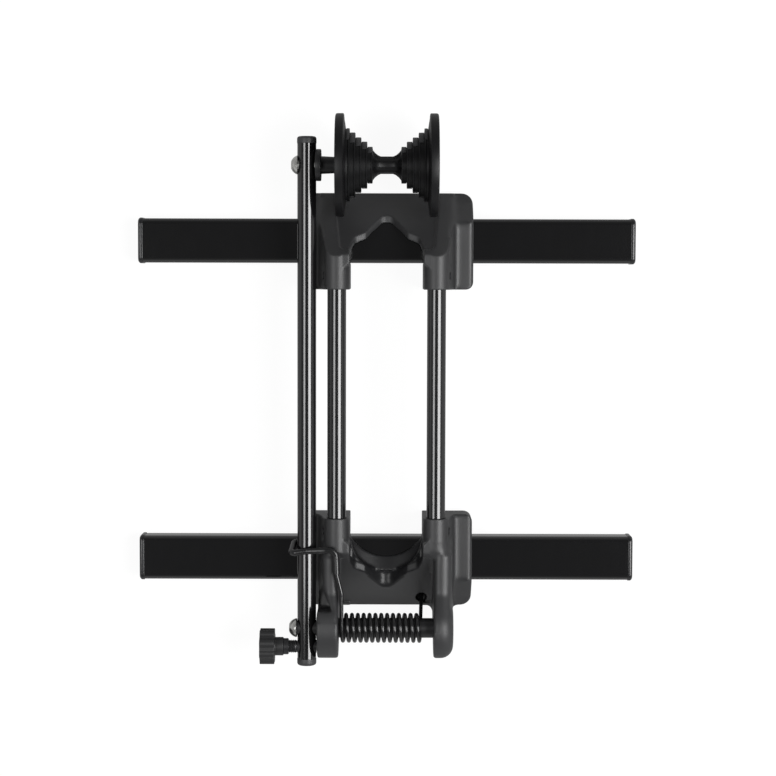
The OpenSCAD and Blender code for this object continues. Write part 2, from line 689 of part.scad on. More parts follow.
// Closed tube of triangles swept along a path
module wire_tube(path, r, sides) {
    t = tangents(path);
    n = carried(t);
    rings = len(path);
    points = [for (i = [0:rings - 1]) for (k = [0:sides - 1])
        path[i] + r * (cos(360 * k / sides) * n[i] + sin(360 * k / sides) * cross(t[i], n[i]))];
    walls = [for (i = [0:rings - 2]) for (k = [0:sides - 1])
        let (a = i * sides + k, b = i * sides + (k + 1) % sides)
        each [[a, a + sides, b], [b, a + sides, b + sides]]];
    first = [for (k = [1:sides - 2]) [0, k, k + 1]];
    last = [for (k = [1:sides - 2]) [(rings - 1) * sides, (rings - 1) * sides + k + 1, (rings - 1) * sides + k]];
    polyhedron(points, concat(walls, first, last));
}
coil_gap = min([for (i = [0:coil_rings - 5]) for (j = [i + 5:min(i + 12, coil_rings)])
    norm(coil_path[i] - coil_path[j])]) - wire_d;
echo(least_gap_of_spring_to_itself = coil_gap);
module torsion_spring() centred(gloss_black) wire_tube(spring_path, wire_d / 2, wire_sides);

// Shrink sleeve on the part of the long leg that rests on the arm
sleeve_points = lever_last - 7;
module spring_shrink_sleeve()
    centred(gloss_black)
        difference() {
            wire_tube([for (i = [0:sleeve_points])
                i == 0 ? lever_path[0] - unit(lever_path[1] - lever_path[0]) * 1.2 : lever_path[i]],
                shrink_d / 2, 10);
            wire_tube([for (i = [0:sleeve_points + 1])
                i == 0 ? lever_path[0] - unit(lever_path[1] - lever_path[0]) * 0.1 : lever_path[i]],
                wire_d / 2 + seat_gap, wire_sides);
        }

// Swing arm
arm_low = axle_y - arm_tail + arm_cap_t;
arm_high = roller_y + arm_head - arm_cap_t;
barrel_neck_d = 9.4;
module arm_tube()
    centred(gloss_black)
        difference() {
            translate([-arm_x, 0, rod_height]) {
                difference() {
                    bar_y(arm_low, arm_high, arm_d / 2);
                    bar_y(arm_low - 1, arm_high + 1, arm_d / 2 - arm_wall);
                }
            }
            at_axle() bar_x(arm_left - 1, arm_right + 1, bolt_d / 2 + bush_wall + fit);
            at_plunger() bar_x(arm_left - 1, arm_right + 1, barrel_neck_d / 2 + fit);
            at_roller() bar_x(arm_left - 1, arm_right + 1, bolt_d / 2 + fit);
        }
// Push-in cap of the arm, turned about its centre line; its plug stops short of the lock plunger
arm_cap_plug = min(5, arm_tail - arm_cap_t - plunger_reach - barrel_neck_d / 2 - 0.5);
plug_r = arm_d / 2 - arm_wall - seat_gap;
module arm_cap(y, out)
    centred(matte_black) translate([-arm_x, y, rod_height]) rotate([-90 * out, 0, 0])
        rotate_extrude() polygon(concat(
            [[0, -arm_cap_plug], [plug_r, -arm_cap_plug], [plug_r, 0], [arm_d / 2 + 0.2, 0]],
            arc(arm_d / 2 - 1.6, arm_cap_t - 1.8, 1.8, 0, 90, 5), [[0, arm_cap_t]]));
module arm_top_cap() arm_cap(arm_high, 1);
module arm_bottom_cap() arm_cap(arm_low, -1);

// Roller axle and what is clamped on it
roller_half = roller_width / 2;
seat_t = 3.5;
seat_x = arm_right - 0.6;
module roller_bolt() centred(chrome) at_roller() domed_bolt(arm_left, axle_tip, roller_head_h);
module roller_seat()
    centred(satin_black)
        difference() {
            at_roller() {
                difference() {
                    bar_x(seat_x, seat_x + seat_t + 0.6, 11.3);
                    bar_x(seat_x - 1, seat_x + seat_t + 2, bolt_d / 2 + fit);
                }
            }
            translate([-arm_x, 0, rod_height])
                bar_y(roller_y - 20, roller_y + 20, arm_d / 2 + fit);
        }
spacer_x0 = seat_x + seat_t + 0.6;
spacer_x1 = side_gap - roller_half - 0.4;
module roller_spacer()
    centred(satin_black) at_roller()
        rotate([0, 90, 0]) rotate_extrude() polygon([
            [bolt_d / 2 + fit, spacer_x0], [6.3, spacer_x0], [5.8, spacer_x1], [bolt_d / 2 + fit, spacer_x1]]);

// Roller: rim, stepped cone and neck, hollow from both ends
hub_r = 7.6;
waist_bore = bolt_d + 0.8;
bush_length = 9;
hub_left = 1.4 - roller_half;
hub_right = 24;
flange_t = 1.2;
cone_wall = 3;
// Steps of the cone: distance from the middle and radius, from the neck outwards
cone_steps = [[4.2, neck_r], [7.4, 8.2], [10.2, 12.5], [14, 16.1], [18.2, 19.1], [22.4, 22.5], [26.4, 25.5]];
cone_last = cone_steps[len(cone_steps) - 1];
rim_in = roller_half - rim_width;
// Half outline: each step is a flat land that ends in a short riser
step_points = [for (i = [0:len(cone_steps) - 2]) each [
    cone_steps[i], [cone_steps[i + 1][0], cone_steps[i][1] + (i < 2 ? 1.2 : 0.6)]]];
outer_half = concat(step_points, [cone_last, [28.7, cone_last[1] + 0.5], [rim_in, roller_r - 6],
    [rim_in + 0.3, roller_r], [roller_half - 1, roller_r], [roller_half, roller_r - 1]]);
// Half outline of the hollow, from the rim to the hub, a wall below the lands of the cone
cavity_half = [[roller_half, roller_r - 3.5], [rim_in + 1.5, roller_r - 7.5],
    [cone_steps[6][0], cone_steps[5][1] - cone_wall + 1], [cone_steps[4][0], cone_steps[3][1] - cone_wall + 0.8],
    [12.5, hub_r + 1.4]];
function flipped(p) = [for (i = [len(p) - 1:-1:0]) [-p[i][0], p[i][1]]];
roller_outline = concat(
    flipped(outer_half), outer_half, cavity_half, [[12.5, hub_r], [hub_right, hub_r], [hub_right, hub_bore / 2]],
    [[hub_right - bush_length - 1, hub_bore / 2], [hub_right - bush_length - 1, waist_bore / 2]],
    [[hub_left + bush_length + 1, waist_bore / 2], [hub_left + bush_length + 1, hub_bore / 2]],
    [[hub_left, hub_bore / 2], [hub_left, hub_r], [-12.5, hub_r]], flipped(cavity_half));
rib_count = 8;
rib_t = 2.6;
module v_roller()
    centred(satin_black) at_roller() {
        rotate([0, 90, 0]) rotate_extrude($fn = 96)
            polygon([for (p = roller_outline) [p[1], p[0]]]);
        // ribs that run across the neck
        for (a = [0:360 / rib_count:359]) rotate([a, 0, 0])
            translate([0, 0, neck_r - 0.6]) along_y(-rib_t / 2, rib_t / 2) polygon([
                [-10.4, 0], [-10.4, 5.6], [-6.4, 2.6], [-3.4, 1.1], [3.4, 1.1], [6.4, 2.6], [10.4, 5.6],
                [10.4, 0]]);
    }
// Flanged bush pressed into the end of the hub
module roller_bush(x_face, out)
    centred(steel) at_roller() translate([x_face, 0, 0]) mirror([out < 0 ? 1 : 0, 0, 0])
        difference() {
            union() {
                bar_x(0, flange_t, hub_r);
                bar_x(-bush_length, 0.1, hub_bore / 2 - fit);
            }
            bar_x(-bush_length - 1, flange_t + 1, bolt_d / 2 + fit);
        }
module roller_left_bush() roller_bush(hub_left, -1);
module roller_right_bush() roller_bush(hub_right, 1);
end_washer_x = hub_right + flange_t + side_gap;
axle_tip = end_washer_x + 1.4 + 8.6;
module roller_end_washer()
    centred(steel) at_roller()
        difference() {
            bar_x(end_washer_x, end_washer_x + 1.4, 8);
            bar_x(end_washer_x - 1, end_washer_x + 3, bolt_d / 2 + fit);
        }
module roller_nut() centred(steel) at_roller() hex_nut(end_washer_x + 1.4, 7.4);

// Lock plunger: barrel in the arm, pin, inner spring and lobed knob
collar_x0 = pivot_head_x - head_h - 3.4;
collar_x1 = pivot_head_x - head_h + 0.5;
chamber_r = 3.9;
chamber_end = -arm_x + 1;
module plunger_barrel()
    centred(satin_black) at_plunger()
        difference() {
            union() {
                bar_x(collar_x0, collar_x1, 5.8);
                bar_x(collar_x0, arm_right + 0.3, barrel_neck_d / 2);
            }
            bar_x(collar_x0 - 1, collar_x1 + 9, 2.3);
            bar_x(collar_x0 + 1.5, chamber_end, chamber_r);
            bar_x(chamber_end - 1, arm_right + 1, pin_d / 2 + fit);
        }
pin_tip = -left_ear_out - side_gap - 0.2;
pin_head = chamber_end - pin_travel - 1.7;
knob_x1 = collar_x0 - pin_travel - 0.7;
knob_x0 = knob_x1 - knob_t;
module plunger_pin()
    centred(steel) at_plunger() {
        bar_x(pin_head, pin_tip, pin_d / 2);
        bar_x(pin_head, pin_head + 1.5, chamber_r - fit);
        bar_x(knob_x0 + 3, pin_head + 0.5, 2.2);
    }
module plunger_spring()
    centred(steel) at_plunger()
        difference() {
            bar_x(collar_x0 + 1.5 + seat_gap, pin_head - seat_gap, chamber_r - seat_gap);
            bar_x(collar_x0, pin_head + 1, 2.2 + 0.4);
        }
skirt_r = 6.6;
module plunger_knob()
    centred(matte_black) at_plunger()
        difference() {
            union() {
                bar_x(knob_x0, knob_x1, knob_d / 2 - 1.5);
                for (i = [0:knob_lobes - 1]) rotate([360 * (i + 0.5) / knob_lobes, 0, 0])
                    translate([0, 0, knob_d / 2 - 3.6]) bar_x(knob_x0, knob_x1, 3.6);
                bar_x(knob_x1 - 1, collar_x0 + 0.1, skirt_r);
            }
            bar_x(knob_x1 - 0.5, collar_x0 + 1, 5.8 + 0.1);
            bar_x(knob_x0 + 3, knob_x1, 2.2 + fit);
        }

rear_leg_tube();
front_leg_tube();
rear_left_leg_cap();
rear_right_leg_cap();
front_left_leg_cap();
front_right_leg_cap();
left_rod();
right_rod();
rear_cradle();
front_cradle();
leg_screws();
rod_set_screws();
pivot_bolt();
pivot_nut();
pivot_bushing();
pivot_washer();
spring_core_sleeve();
torsion_spring();
spring_shrink_sleeve();
arm_tube();
arm_top_cap();
arm_bottom_cap();
roller_bolt();
roller_seat();
roller_spacer();
roller_end_washer();
roller_nut();
v_roller();
roller_left_bush();
roller_right_bush();
plunger_barrel();
plunger_knob();
plunger_pin();
plunger_spring();
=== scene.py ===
"""Visual model of a folding bike display stand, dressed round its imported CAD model.

All lengths inside the classes are millimetres; meshes are made in metres.
"""

import logging
import math
from contextlib import contextmanager
from dataclasses import dataclass
from enum import Enum
from typing import Callable, Iterator, Sequence

import bmesh
import bpy
from mathutils import Matrix, Vector


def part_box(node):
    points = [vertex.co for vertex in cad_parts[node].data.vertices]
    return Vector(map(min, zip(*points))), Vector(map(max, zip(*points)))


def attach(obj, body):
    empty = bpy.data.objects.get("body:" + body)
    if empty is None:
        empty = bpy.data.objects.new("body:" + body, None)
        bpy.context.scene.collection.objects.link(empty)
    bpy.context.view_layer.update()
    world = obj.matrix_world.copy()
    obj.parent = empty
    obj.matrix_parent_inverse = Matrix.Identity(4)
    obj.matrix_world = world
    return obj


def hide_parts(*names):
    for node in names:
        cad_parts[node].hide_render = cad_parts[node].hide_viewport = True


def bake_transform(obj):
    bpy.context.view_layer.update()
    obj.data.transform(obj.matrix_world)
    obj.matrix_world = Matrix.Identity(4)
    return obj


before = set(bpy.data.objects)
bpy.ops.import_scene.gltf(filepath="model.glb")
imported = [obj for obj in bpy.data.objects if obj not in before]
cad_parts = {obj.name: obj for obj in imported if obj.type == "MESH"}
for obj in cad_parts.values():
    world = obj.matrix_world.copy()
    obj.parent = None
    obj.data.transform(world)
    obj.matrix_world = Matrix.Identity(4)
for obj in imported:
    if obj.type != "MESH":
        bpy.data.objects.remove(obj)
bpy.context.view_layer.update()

MM = 0.001
LOG = logging.getLogger("stand")
Piece = bpy.types.Object
Socket = bpy.types.NodeSocket
Point = tuple[float, float, float]
Span = tuple[float, float]
Colour = tuple[float, float, float, float]
MIDDLE_BAND = (0.3, 0.7)
FULL_TURN = 360.0
FLAT = math.radians(0.6)


class Body(Enum):
    """Bodies of the motion model that pieces ride on."""

    BASE = "base"
    ARM = "arm"
    ROLLER = "roller"
    PLUNGER = "plunger"


class Axis(Enum):
    """Directions that round bars run along."""

    X = (1.0, 0.0, 0.0)
    Y = (0.0, 1.0, 0.0)
    Z = (0.0, 0.0, 1.0)


# Bench work


def metres(point: Sequence[float]) -> Vector:
    """Gives a point in millimetres as a vector in metres."""
    return Vector(point) * MM


def box_mm(node: str) -> tuple[Vector, Vector]:
    """Gives the lowest and highest corner of a CAD node in millimetres."""
    low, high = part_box(node)
    return low / MM, high / MM


def centre_mm(node: str) -> Vector:
    """Gives the middle of a CAD node's box in millimetres."""
    low, high = box_mm(node)
    return (low + high) / 2


def take(piece: Piece) -> None:
    """Makes one piece the only selected and active object."""
    bpy.ops.object.select_all(action="DESELECT")
    piece.select_set(True)
    bpy.context.view_layer.objects.active = piece


@contextmanager
def edit_mode(piece: Piece, action: str = "DESELECT") -> Iterator[bpy.types.Mesh]:
    """Opens a piece in edit mode, on its points, and closes it again.

    Args:
        piece: The mesh object to edit.
        action: What is done first to the selection of its points.

    Returns:
        An iterator that yields the mesh being edited.
    """
    take(piece)
    bpy.ops.object.mode_set(mode="EDIT")
    bpy.ops.mesh.select_mode(type="VERT")
    bpy.ops.mesh.select_all(action=action)
    yield piece.data
    bpy.ops.object.mode_set(mode="OBJECT")


def pick_faces(mesh: bpy.types.Mesh, test: Callable[[Vector, Vector], bool]) -> None:
    """Selects the faces whose middle and normal pass a test, in edit mode.

    Args:
        mesh: The mesh in edit mode.
        test: Takes the face's middle in millimetres and its normal.
    """
    bpy.ops.mesh.select_mode(type="FACE")
    work = bmesh.from_edit_mesh(mesh)
    for face in work.faces:
        face.select_set(test(face.calc_center_median() / MM, face.normal))
    bmesh.update_edit_mesh(mesh)


def pick_edges(mesh: bpy.types.Mesh, test: Callable[[Vector, Vector], bool]) -> None:
    """Selects the edges whose two ends pass a test, in edit mode.

    Args:
        mesh: The mesh in edit mode.
        test: Takes the two ends in millimetres.
    """
    bpy.ops.mesh.select_mode(type="EDGE")
    work = bmesh.from_edit_mesh(mesh)
    for edge in work.edges:
        a, b = edge.verts
        edge.select_set(test(a.co / MM, b.co / MM))
    work.select_flush_mode()
    bmesh.update_edit_mesh(mesh)


def settle(piece: Piece) -> Piece:
    """Puts a piece's place into its mesh and leaves its object at the origin."""
    take(piece)
    bpy.ops.object.transform_apply(location=True, rotation=True, scale=True)
    return piece


def close_up(piece: Piece, gap: float = 0.002) -> Piece:
    """Merges doubles and turns every face outwards.

    Args:
        piece: The mesh object.
        gap: Distance in millimetres below which points are merged.

    Returns:
        The same object.
    """
    with edit_mode(piece, "SELECT"):
        bpy.ops.mesh.remove_doubles(threshold=gap * MM)
        bpy.ops.mesh.normals_make_consistent(inside=False)
    return piece


def modify(piece: Piece, kind: str, **settings: object) -> Piece:
    """Adds one modifier, sets it up and applies it.

    Args:
        piece: The mesh object.
        kind: The modifier's type.
        settings: Its properties by name.

    Returns:
        The same object.
    """
    take(piece)
    step = piece.modifiers.new(kind.title(), kind)
    for name, value in settings.items():
        setattr(step, name, value)
    bpy.ops.object.modifier_apply(modifier=step.name)
    return piece


def round_edges(piece: Piece, width: float, segments: int = 3, angle: float = 30.0) -> Piece:
    """Rounds every edge that turns more than an angle.

    Args:
        piece: The mesh object.
        width: Width of the rounding in millimetres.
        segments: Steps across the rounding.
        angle: Least turn in degrees that is rounded.

    Returns:
        The same object.
    """
    return modify(
        piece,
        "BEVEL",
        width=width * MM,
        segments=segments,
        limit_method="ANGLE",
        angle_limit=math.radians(angle),
        use_clamp_overlap=True,
    )


def smooth(piece: Piece, angle: float = 35.0) -> Piece:
    """Shades a piece smooth up to an angle between faces."""
    take(piece)
    bpy.ops.object.shade_smooth_by_angle(angle=math.radians(angle))
    return piece


def carve(piece: Piece, cutter: Piece, operation: str = "DIFFERENCE") -> None:
    """Cuts one closed piece with another, or joins them, and removes the tool.

    Args:
        piece: The piece that stays.
        cutter: The closed shape that is used up.
        operation: Name of the boolean operation.
    """
    modify(piece, "BOOLEAN", operation=operation, solver="EXACT", object=cutter)
    mesh = cutter.data
    bpy.data.objects.remove(cutter)
    bpy.data.meshes.remove(mesh)


def named(name: str) -> Piece:
    """Gives the object just added its name."""
    piece = bpy.context.active_object
    piece.name = name
    piece.data.name = name
    return piece


def block(name: str, low: Sequence[float], high: Sequence[float]) -> Piece:
    """Adds a box between two corners in millimetres, with its place in its mesh."""
    middle = (metres(low) + metres(high)) / 2
    bpy.ops.mesh.primitive_cube_add(size=1, location=middle)
    piece = named(name)
    piece.scale = metres(high) - metres(low)
    return settle(piece)


def bar(
    name: str, start: Sequence[float], length: float, radius: float, axis: Axis, sides: int = 64
) -> Piece:
    """Adds a round bar with its place in its mesh.

    Args:
        name: Name of the new object.
        start: Middle of the bar's first end in millimetres.
        length: Length along the axis in millimetres.
        radius: Radius in millimetres.
        axis: Direction of the bar.
        sides: Number of sides.

    Returns:
        The bar.
    """
    way = Vector(axis.value)
    bpy.ops.mesh.primitive_cylinder_add(
        vertices=sides,
        radius=radius * MM,
        depth=length * MM,
        location=metres(start) + way * length * MM / 2,
        rotation=way.to_track_quat("Z", "Y").to_euler(),
    )
    return settle(named(name))


def drawn(name: str, spots: Sequence[Vector]) -> Piece:
    """Draws a line of points, each grown out of the one before it.

    Args:
        name: Name of the new object.
        spots: The points in metres.

    Returns:
        The line, as a mesh of edges.
    """
    bpy.ops.mesh.primitive_plane_add(size=MM, location=spots[0])
    piece = settle(named(name))
    with edit_mode(piece, "SELECT"):
        bpy.ops.mesh.merge(type="CENTER")
        for here, spot in zip(spots, spots[1:]):
            bpy.ops.mesh.extrude_vertices_move(TRANSFORM_OT_translate={"value": spot - here})
    return piece


def turned(
    name: str,
    outline: Sequence[Span],
    centre: Sequence[float],
    steps: int = 96,
    start: float = 0.0,
    sweep: float = FULL_TURN,
) -> Piece:
    """Turns an outline about X, as on a lathe, through a full turn or a part.

    Args:
        name: Name of the new object.
        outline: Outline as (distance along X, radius) in millimetres, closed
            by its own points for a full turn.
        centre: Point on the axis that the distances count from, in millimetres.
        steps: Steps in the turn.
        start: Where the turn starts, from the top towards +Y in degrees.
        sweep: How far it goes in degrees.

    Returns:
        The turned piece, closed.
    """
    first = math.radians(start)
    side = Vector((0, math.sin(first), math.cos(first)))
    hub = metres(centre)
    spots = [hub + Vector((along, 0, 0)) * MM + side * out * MM for along, out in outline]
    piece = drawn(name, spots)
    with edit_mode(piece, "SELECT"):
        if sweep < FULL_TURN:
            bpy.ops.mesh.edge_face_add()
        bpy.ops.mesh.spin(steps=steps, angle=math.radians(sweep), center=hub, axis=(1, 0, 0))
    return close_up(piece)


def wire(name: str, path: Sequence[Vector], radius: float, sides: int) -> Piece:
    """Sweeps a round wire along a smooth path.

    Args:
        name: Name of the new object.
        path: Points in millimetres.
        radius: Radius of the wire in millimetres.
        sides: Bevel resolution of the wire.

    Returns:
        The wire as a closed mesh.
    """
    bpy.ops.curve.primitive_nurbs_path_add()
    piece = bpy.context.active_object
    line = piece.data
    line.splines.clear()
    run = line.splines.new("POLY")
    run.points.add(len(path) - 1)
    for spot, target in zip(run.points, path):
        spot.co = (*metres(target), 1.0)
    line.dimensions = "3D"
    line.bevel_depth = radius * MM
    line.bevel_resolution = sides
    line.use_fill_caps = True
    piece.location = (0, 0, 0)
    take(piece)
    bpy.ops.object.convert(target="MESH")
    return smooth(close_up(settle(named(name))), 60)


def cad_copy(node: str, name: str) -> Piece:
    """Copies a CAD node's mesh as one closed shell to work on.

    Args:
        node: Name of the CAD node.
        name: Name of the new object.

    Returns:
        The copy.
    """
    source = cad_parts[node]
    piece = bpy.data.objects.new(name, source.data.copy())
    piece.data.name = name
    piece.data.materials.clear()
    bpy.context.scene.collection.objects.link(piece)
    take(piece)
    bpy.ops.mesh.customdata_custom_splitnormals_clear()
    return close_up(piece, 0.004)


def joined(pieces: Sequence[Piece]) -> Piece:
    """Joins several pieces into the first one."""
    take(pieces[0])
    for piece in pieces:
        piece.select_set(True)
    bpy.ops.object.join()
    return pieces[0]


# Finishes


class Nodes:
    """Short way to wire the shader nodes of one material or of the room."""

    def __init__(self, owner: bpy.types.Material | bpy.types.World) -> None:
        """Opens the owner's node tree."""
        owner.use_nodes = True
        self.tree = owner.node_tree

    def add(self, kind: str, **inputs: object) -> bpy.types.Node:
        """Adds a node and sets or links its inputs.

        Args:
            kind: Type of the node without its prefix.
            inputs: Values or sockets by input name, with _ for a space.

        Returns:
            The new node.
        """
        node = self.tree.nodes.new("ShaderNode" + kind)
        for name, value in inputs.items():
            self.join(node, name.replace("_", " "), value)
        return node

    def join(self, node: bpy.types.Node, socket: str | int, value: object) -> None:
        """Links a socket to an input, or sets the input's value."""
        target = node.inputs[socket]
        if isinstance(value, Socket):
            self.tree.links.new(value, target)
        else:
            target.default_value = value

    def paint(self, socket: str, value: object) -> None:
        """Links or sets one input of the material's surface."""
        self.join(self.tree.nodes["Principled BSDF"], socket, value)

    def place(self, kind: str) -> Socket:
        """Gives one output of the tree's coordinate node."""
        node = self.tree.nodes.get("Texture Coordinate") or self.add("TexCoord")
        return node.outputs[kind]

    def maths(self, operation: str, *values: object) -> Socket:
        """Works out one sum on values or sockets and returns the result."""
        node = self.add("Math")
        node.operation = operation
        for socket, value in enumerate(values):
            self.join(node, socket, value)
        return node.outputs[0]

    def noise(self, scale: float, detail: float, stretch: Point = (1, 1, 1)) -> Socket:
        """Adds a noise pattern fixed to the piece.

        Args:
            scale: Features per metre.
            detail: Octaves of detail.
            stretch: Factor on the pattern along each axis.

        Returns:
            The pattern's value from 0 to 1.
        """
        turned_to = self.add("Mapping", Vector=self.place("Object"), Scale=stretch)
        pattern = self.add(
            "TexNoise", Vector=turned_to.outputs[0], Scale=scale, Detail=detail, Roughness=0.55
        )
        return pattern.outputs["Fac"]

    def spread(self, value: Socket, source: Span, target: Span) -> Socket:
        """Maps one range of a value to another range and returns the result."""
        (low, high), (to_low, to_high) = source, target
        node = self.add(
            "MapRange", Value=value, From_Min=low, From_Max=high, To_Min=to_low, To_Max=to_high
        )
        return node.outputs[0]

    def mixed(self, factor: object, first: object, second: object) -> Socket:
        """Mixes two colours by a factor and returns the result."""
        node = self.add("Mix")
        node.data_type = "RGBA"
        for socket, value in ((0, factor), (6, first), (7, second)):
            self.join(node, socket, value)
        return node.outputs[2]

    def bump(self, height: Socket, depth: float, under: Socket | None = None) -> Socket:
        """Adds a bump whose height is given in millimetres.

        Args:
            height: The pattern from 0 to 1.
            depth: Height of the relief in millimetres.
            under: A bump that this one is laid on.

        Returns:
            The normal.
        """
        node = self.add("Bump", Height=height, Strength=1.0, Distance=depth * MM)
        if under is not None:
            self.join(node, "Normal", under)
        return node.outputs[0]


@dataclass(frozen=True)
class Finish:
    """A surface finish: what it is made of and how it shines."""

    name: str
    slot: str
    colour: tuple[float, float, float]
    roughness: float
    metallic: float = 0.0
    specular: float = 0.5

    def shaded(self, factor: float) -> Colour:
        """Gives the finish's colour times a factor, as a shader colour."""
        return (*(min(1.0, c * factor) for c in self.colour), 1.0)

    def rub(self, work: Nodes, pattern: Socket, least: float, most: float) -> None:
        """Varies the roughness with a pattern, between two shares of its value."""
        wear = (self.roughness * least, self.roughness * most)
        work.paint("Roughness", work.spread(pattern, MIDDLE_BAND, wear))

    def dress(self, work: Nodes) -> None:
        """Lays the pattern of the finish over its base."""
        raise NotImplementedError

    def material(self) -> bpy.types.Material:
        """Makes the material, or returns the one made before."""
        known = bpy.data.materials.get(self.name)
        if known is not None:
            return known
        material = bpy.data.materials.new(self.name)
        work = Nodes(material)
        work.paint("Metallic", self.metallic)
        work.paint("Specular IOR Level", self.specular)
        self.dress(work)
        return material

    def put_on(self, piece: Piece) -> None:
        """Gives a piece this finish."""
        piece.data.materials.clear()
        piece.data.materials.append(self.material())


@dataclass(frozen=True)
class PowderCoat(Finish):
    """Baked powder paint: glossy, with a faint orange peel and some dust."""

    peel: float = 0.0006
    dust: float = 0.25
    dust_colour: Colour = (0.06, 0.062, 0.065, 1.0)

    def dress(self, work: Nodes) -> None:
        """Adds the orange peel, hairline scratches and dust."""
        flakes = work.spread(work.noise(1500, 2), (0.68, 0.76), (0.0, self.dust))
        film = work.spread(work.noise(35, 5), (0.35, 0.75), (0.1, 0.6))
        dusty = work.maths("MULTIPLY", film, flakes)
        base = work.mixed(work.noise(90, 3), self.shaded(0.9), self.shaded(1.1))
        work.paint("Base Color", work.mixed(dusty, base, self.dust_colour))
        self.rub(work, work.noise(140, 6, (1, 0.3, 1)), 0.92, 1.12)
        peel = work.bump(work.noise(420, 1), self.peel)
        work.paint("Normal", work.bump(work.noise(2600, 2), self.peel * 0.12, peel))


@dataclass(frozen=True)
class MouldedPlastic(Finish):
    """Moulded plastic with a fine etched grain, paler on its edges: edge wear and a painted
    highlight.
    """

    grain: float = 0.02
    grain_size: float = 0.45
    # How much paler the edges are painted: edge wear and a painted highlight along crests and
    # creases.
    edge: float = 1.35

    def dress(self, work: Nodes) -> None:
        """Adds the grain, slow flow marks and the paler edges, which are edge wear and a painted
        highlight.
        """
        flow = work.noise(28, 3, (1.0, 0.45, 1.0))
        speck = work.noise(1000 / self.grain_size, 2)
        base = work.mixed(flow, self.shaded(0.86), self.shaded(1.14))
        pale = work.spread(speck, (0.35, 0.65), (0.0, 0.35))
        grained = work.mixed(pale, base, self.shaded(1.3))
        # Pointiness lightens crests and creases: edge wear and a painted highlight.
        pointy = work.add("NewGeometry").outputs["Pointiness"]
        edge_wear_and_highlight = work.spread(pointy, (0.51, 0.56), (0.0, 0.55))
        work.paint("Base Color", work.mixed(edge_wear_and_highlight, grained, self.shaded(self.edge)))
        self.rub(work, flow, 0.93, 1.07)
        fine = work.bump(speck, self.grain)
        work.paint("Normal", work.bump(work.noise(700, 2), self.grain * 0.8, fine))


@dataclass(frozen=True)
class Metal(Finish):
    """Bare or plated metal with fine polishing marks."""

    marks: float = 0.0008

    def dress(self, work: Nodes) -> None:
        """Adds the polishing marks and faint stains."""
        stained = work.mixed(work.noise(220, 4), self.shaded(0.82), self.shaded(1.1))
        work.paint("Base Color", stained)
        self.rub(work, work.noise(900, 4), 0.7, 1.5)
        work.paint("Normal", work.bump(work.noise(5000, 2), self.marks))


LEG_PAINT = PowderCoat(
    "gloss_black_leg_paint", "leg_paint", (0.0042, 0.0042, 0.0046), 0.09, specular=0.8
)
ROD_PAINT = PowderCoat(
    "gloss_black_rod_paint", "rod_paint", (0.006, 0.006, 0.0065), 0.14, specular=0.85
)
ARM_PAINT = PowderCoat(
    "gloss_black_arm_paint", "arm_paint", (0.005, 0.005, 0.0055), 0.12, specular=0.85
)
CRADLE_PLASTIC = MouldedPlastic(
    "cradle_moulding", "cradle_plastic", (0.0205, 0.0207, 0.0218), 0.47, specular=0.6, grain=0.012
)
# A darker, smoother copy of the cradle moulding: painted shade in the dish and channel of the
# notch.
SHADED_DISH_PLASTIC = MouldedPlastic(
    "cradle_dish_painted_shade", "cradle_plastic", (0.0085, 0.0086, 0.0094), 0.4,
    specular=0.4, grain=0.006,
)
CAP_PLASTIC = MouldedPlastic(
    "leg_cap_moulding", "leg_cap_plastic", (0.008, 0.008, 0.009), 0.26, specular=0.6, grain=0.003
)
ARM_CAP_PLASTIC = MouldedPlastic(
    "arm_cap_moulding", "arm_cap_plastic", (0.03, 0.03, 0.032), 0.45, grain=0.008
)
ROLLER_PLASTIC = MouldedPlastic(
    "roller_moulding", "roller_plastic", (0.0042, 0.0042, 0.0046), 0.4,
    specular=0.24, grain=0.008, edge=1.7,
)
# A paler copy of the roller moulding: painted highlight on the raised pads.
LIT_PAD_PLASTIC = MouldedPlastic(
    "roller_pad_painted_highlight", "roller_plastic", (0.024, 0.024, 0.0255), 0.5,
    specular=0.4, grain=0.008, edge=1.4,
)
KNOB_PLASTIC = MouldedPlastic(
    "knob_moulding", "knob_plastic", (0.012, 0.012, 0.0127), 0.46, grain=0.012
)
SLEEVE_PLASTIC = MouldedPlastic(
    "sleeve_moulding", "sleeve_plastic", (0.011, 0.011, 0.012), 0.42, grain=0.008
)
SPRING_WIRE = PowderCoat(
    "coated_spring_wire", "spring_steel", (0.008, 0.008, 0.0085), 0.2, specular=0.7, peel=0.001
)
SHRINK_TUBE = MouldedPlastic(
    "shrink_tube", "shrink_sleeve", (0.007, 0.007, 0.0075), 0.25, grain=0.004
)
BLACK_STEEL = Metal("blackened_steel", "plunger_steel", (0.03, 0.03, 0.032), 0.36, 0.5)
CHROME = Metal("chrome_plate", "chrome_bolt", (0.62, 0.62, 0.6), 0.26, 1.0)
ZINC = Metal("zinc_plate", "zinc_steel", (0.56, 0.56, 0.55), 0.32, 1.0)


def finished(piece: Piece, finish: Finish, body: Body, *nodes: str) -> None:
    """Dresses a piece, lets it ride on its body and stand for its CAD nodes.

    Args:
        piece: The finished mesh.
        finish: Its surface.
        body: The body that it moves with.
        nodes: CAD nodes that it replaces.
    """
    finish.put_on(piece)
    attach(piece, body.value)
    if nodes:
        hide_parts(*nodes)
    LOG.info("%s: %d faces on %s", piece.name, len(piece.data.polygons), body.value)


def repaint(finish: Finish, *nodes: str) -> None:
    """Gives CAD nodes whose form stays their finish."""
    for node in nodes:
        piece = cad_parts[node]
        piece.data.materials.clear()
        piece.data.materials.append(finish.material())
        LOG.info("%s keeps its CAD form", node)


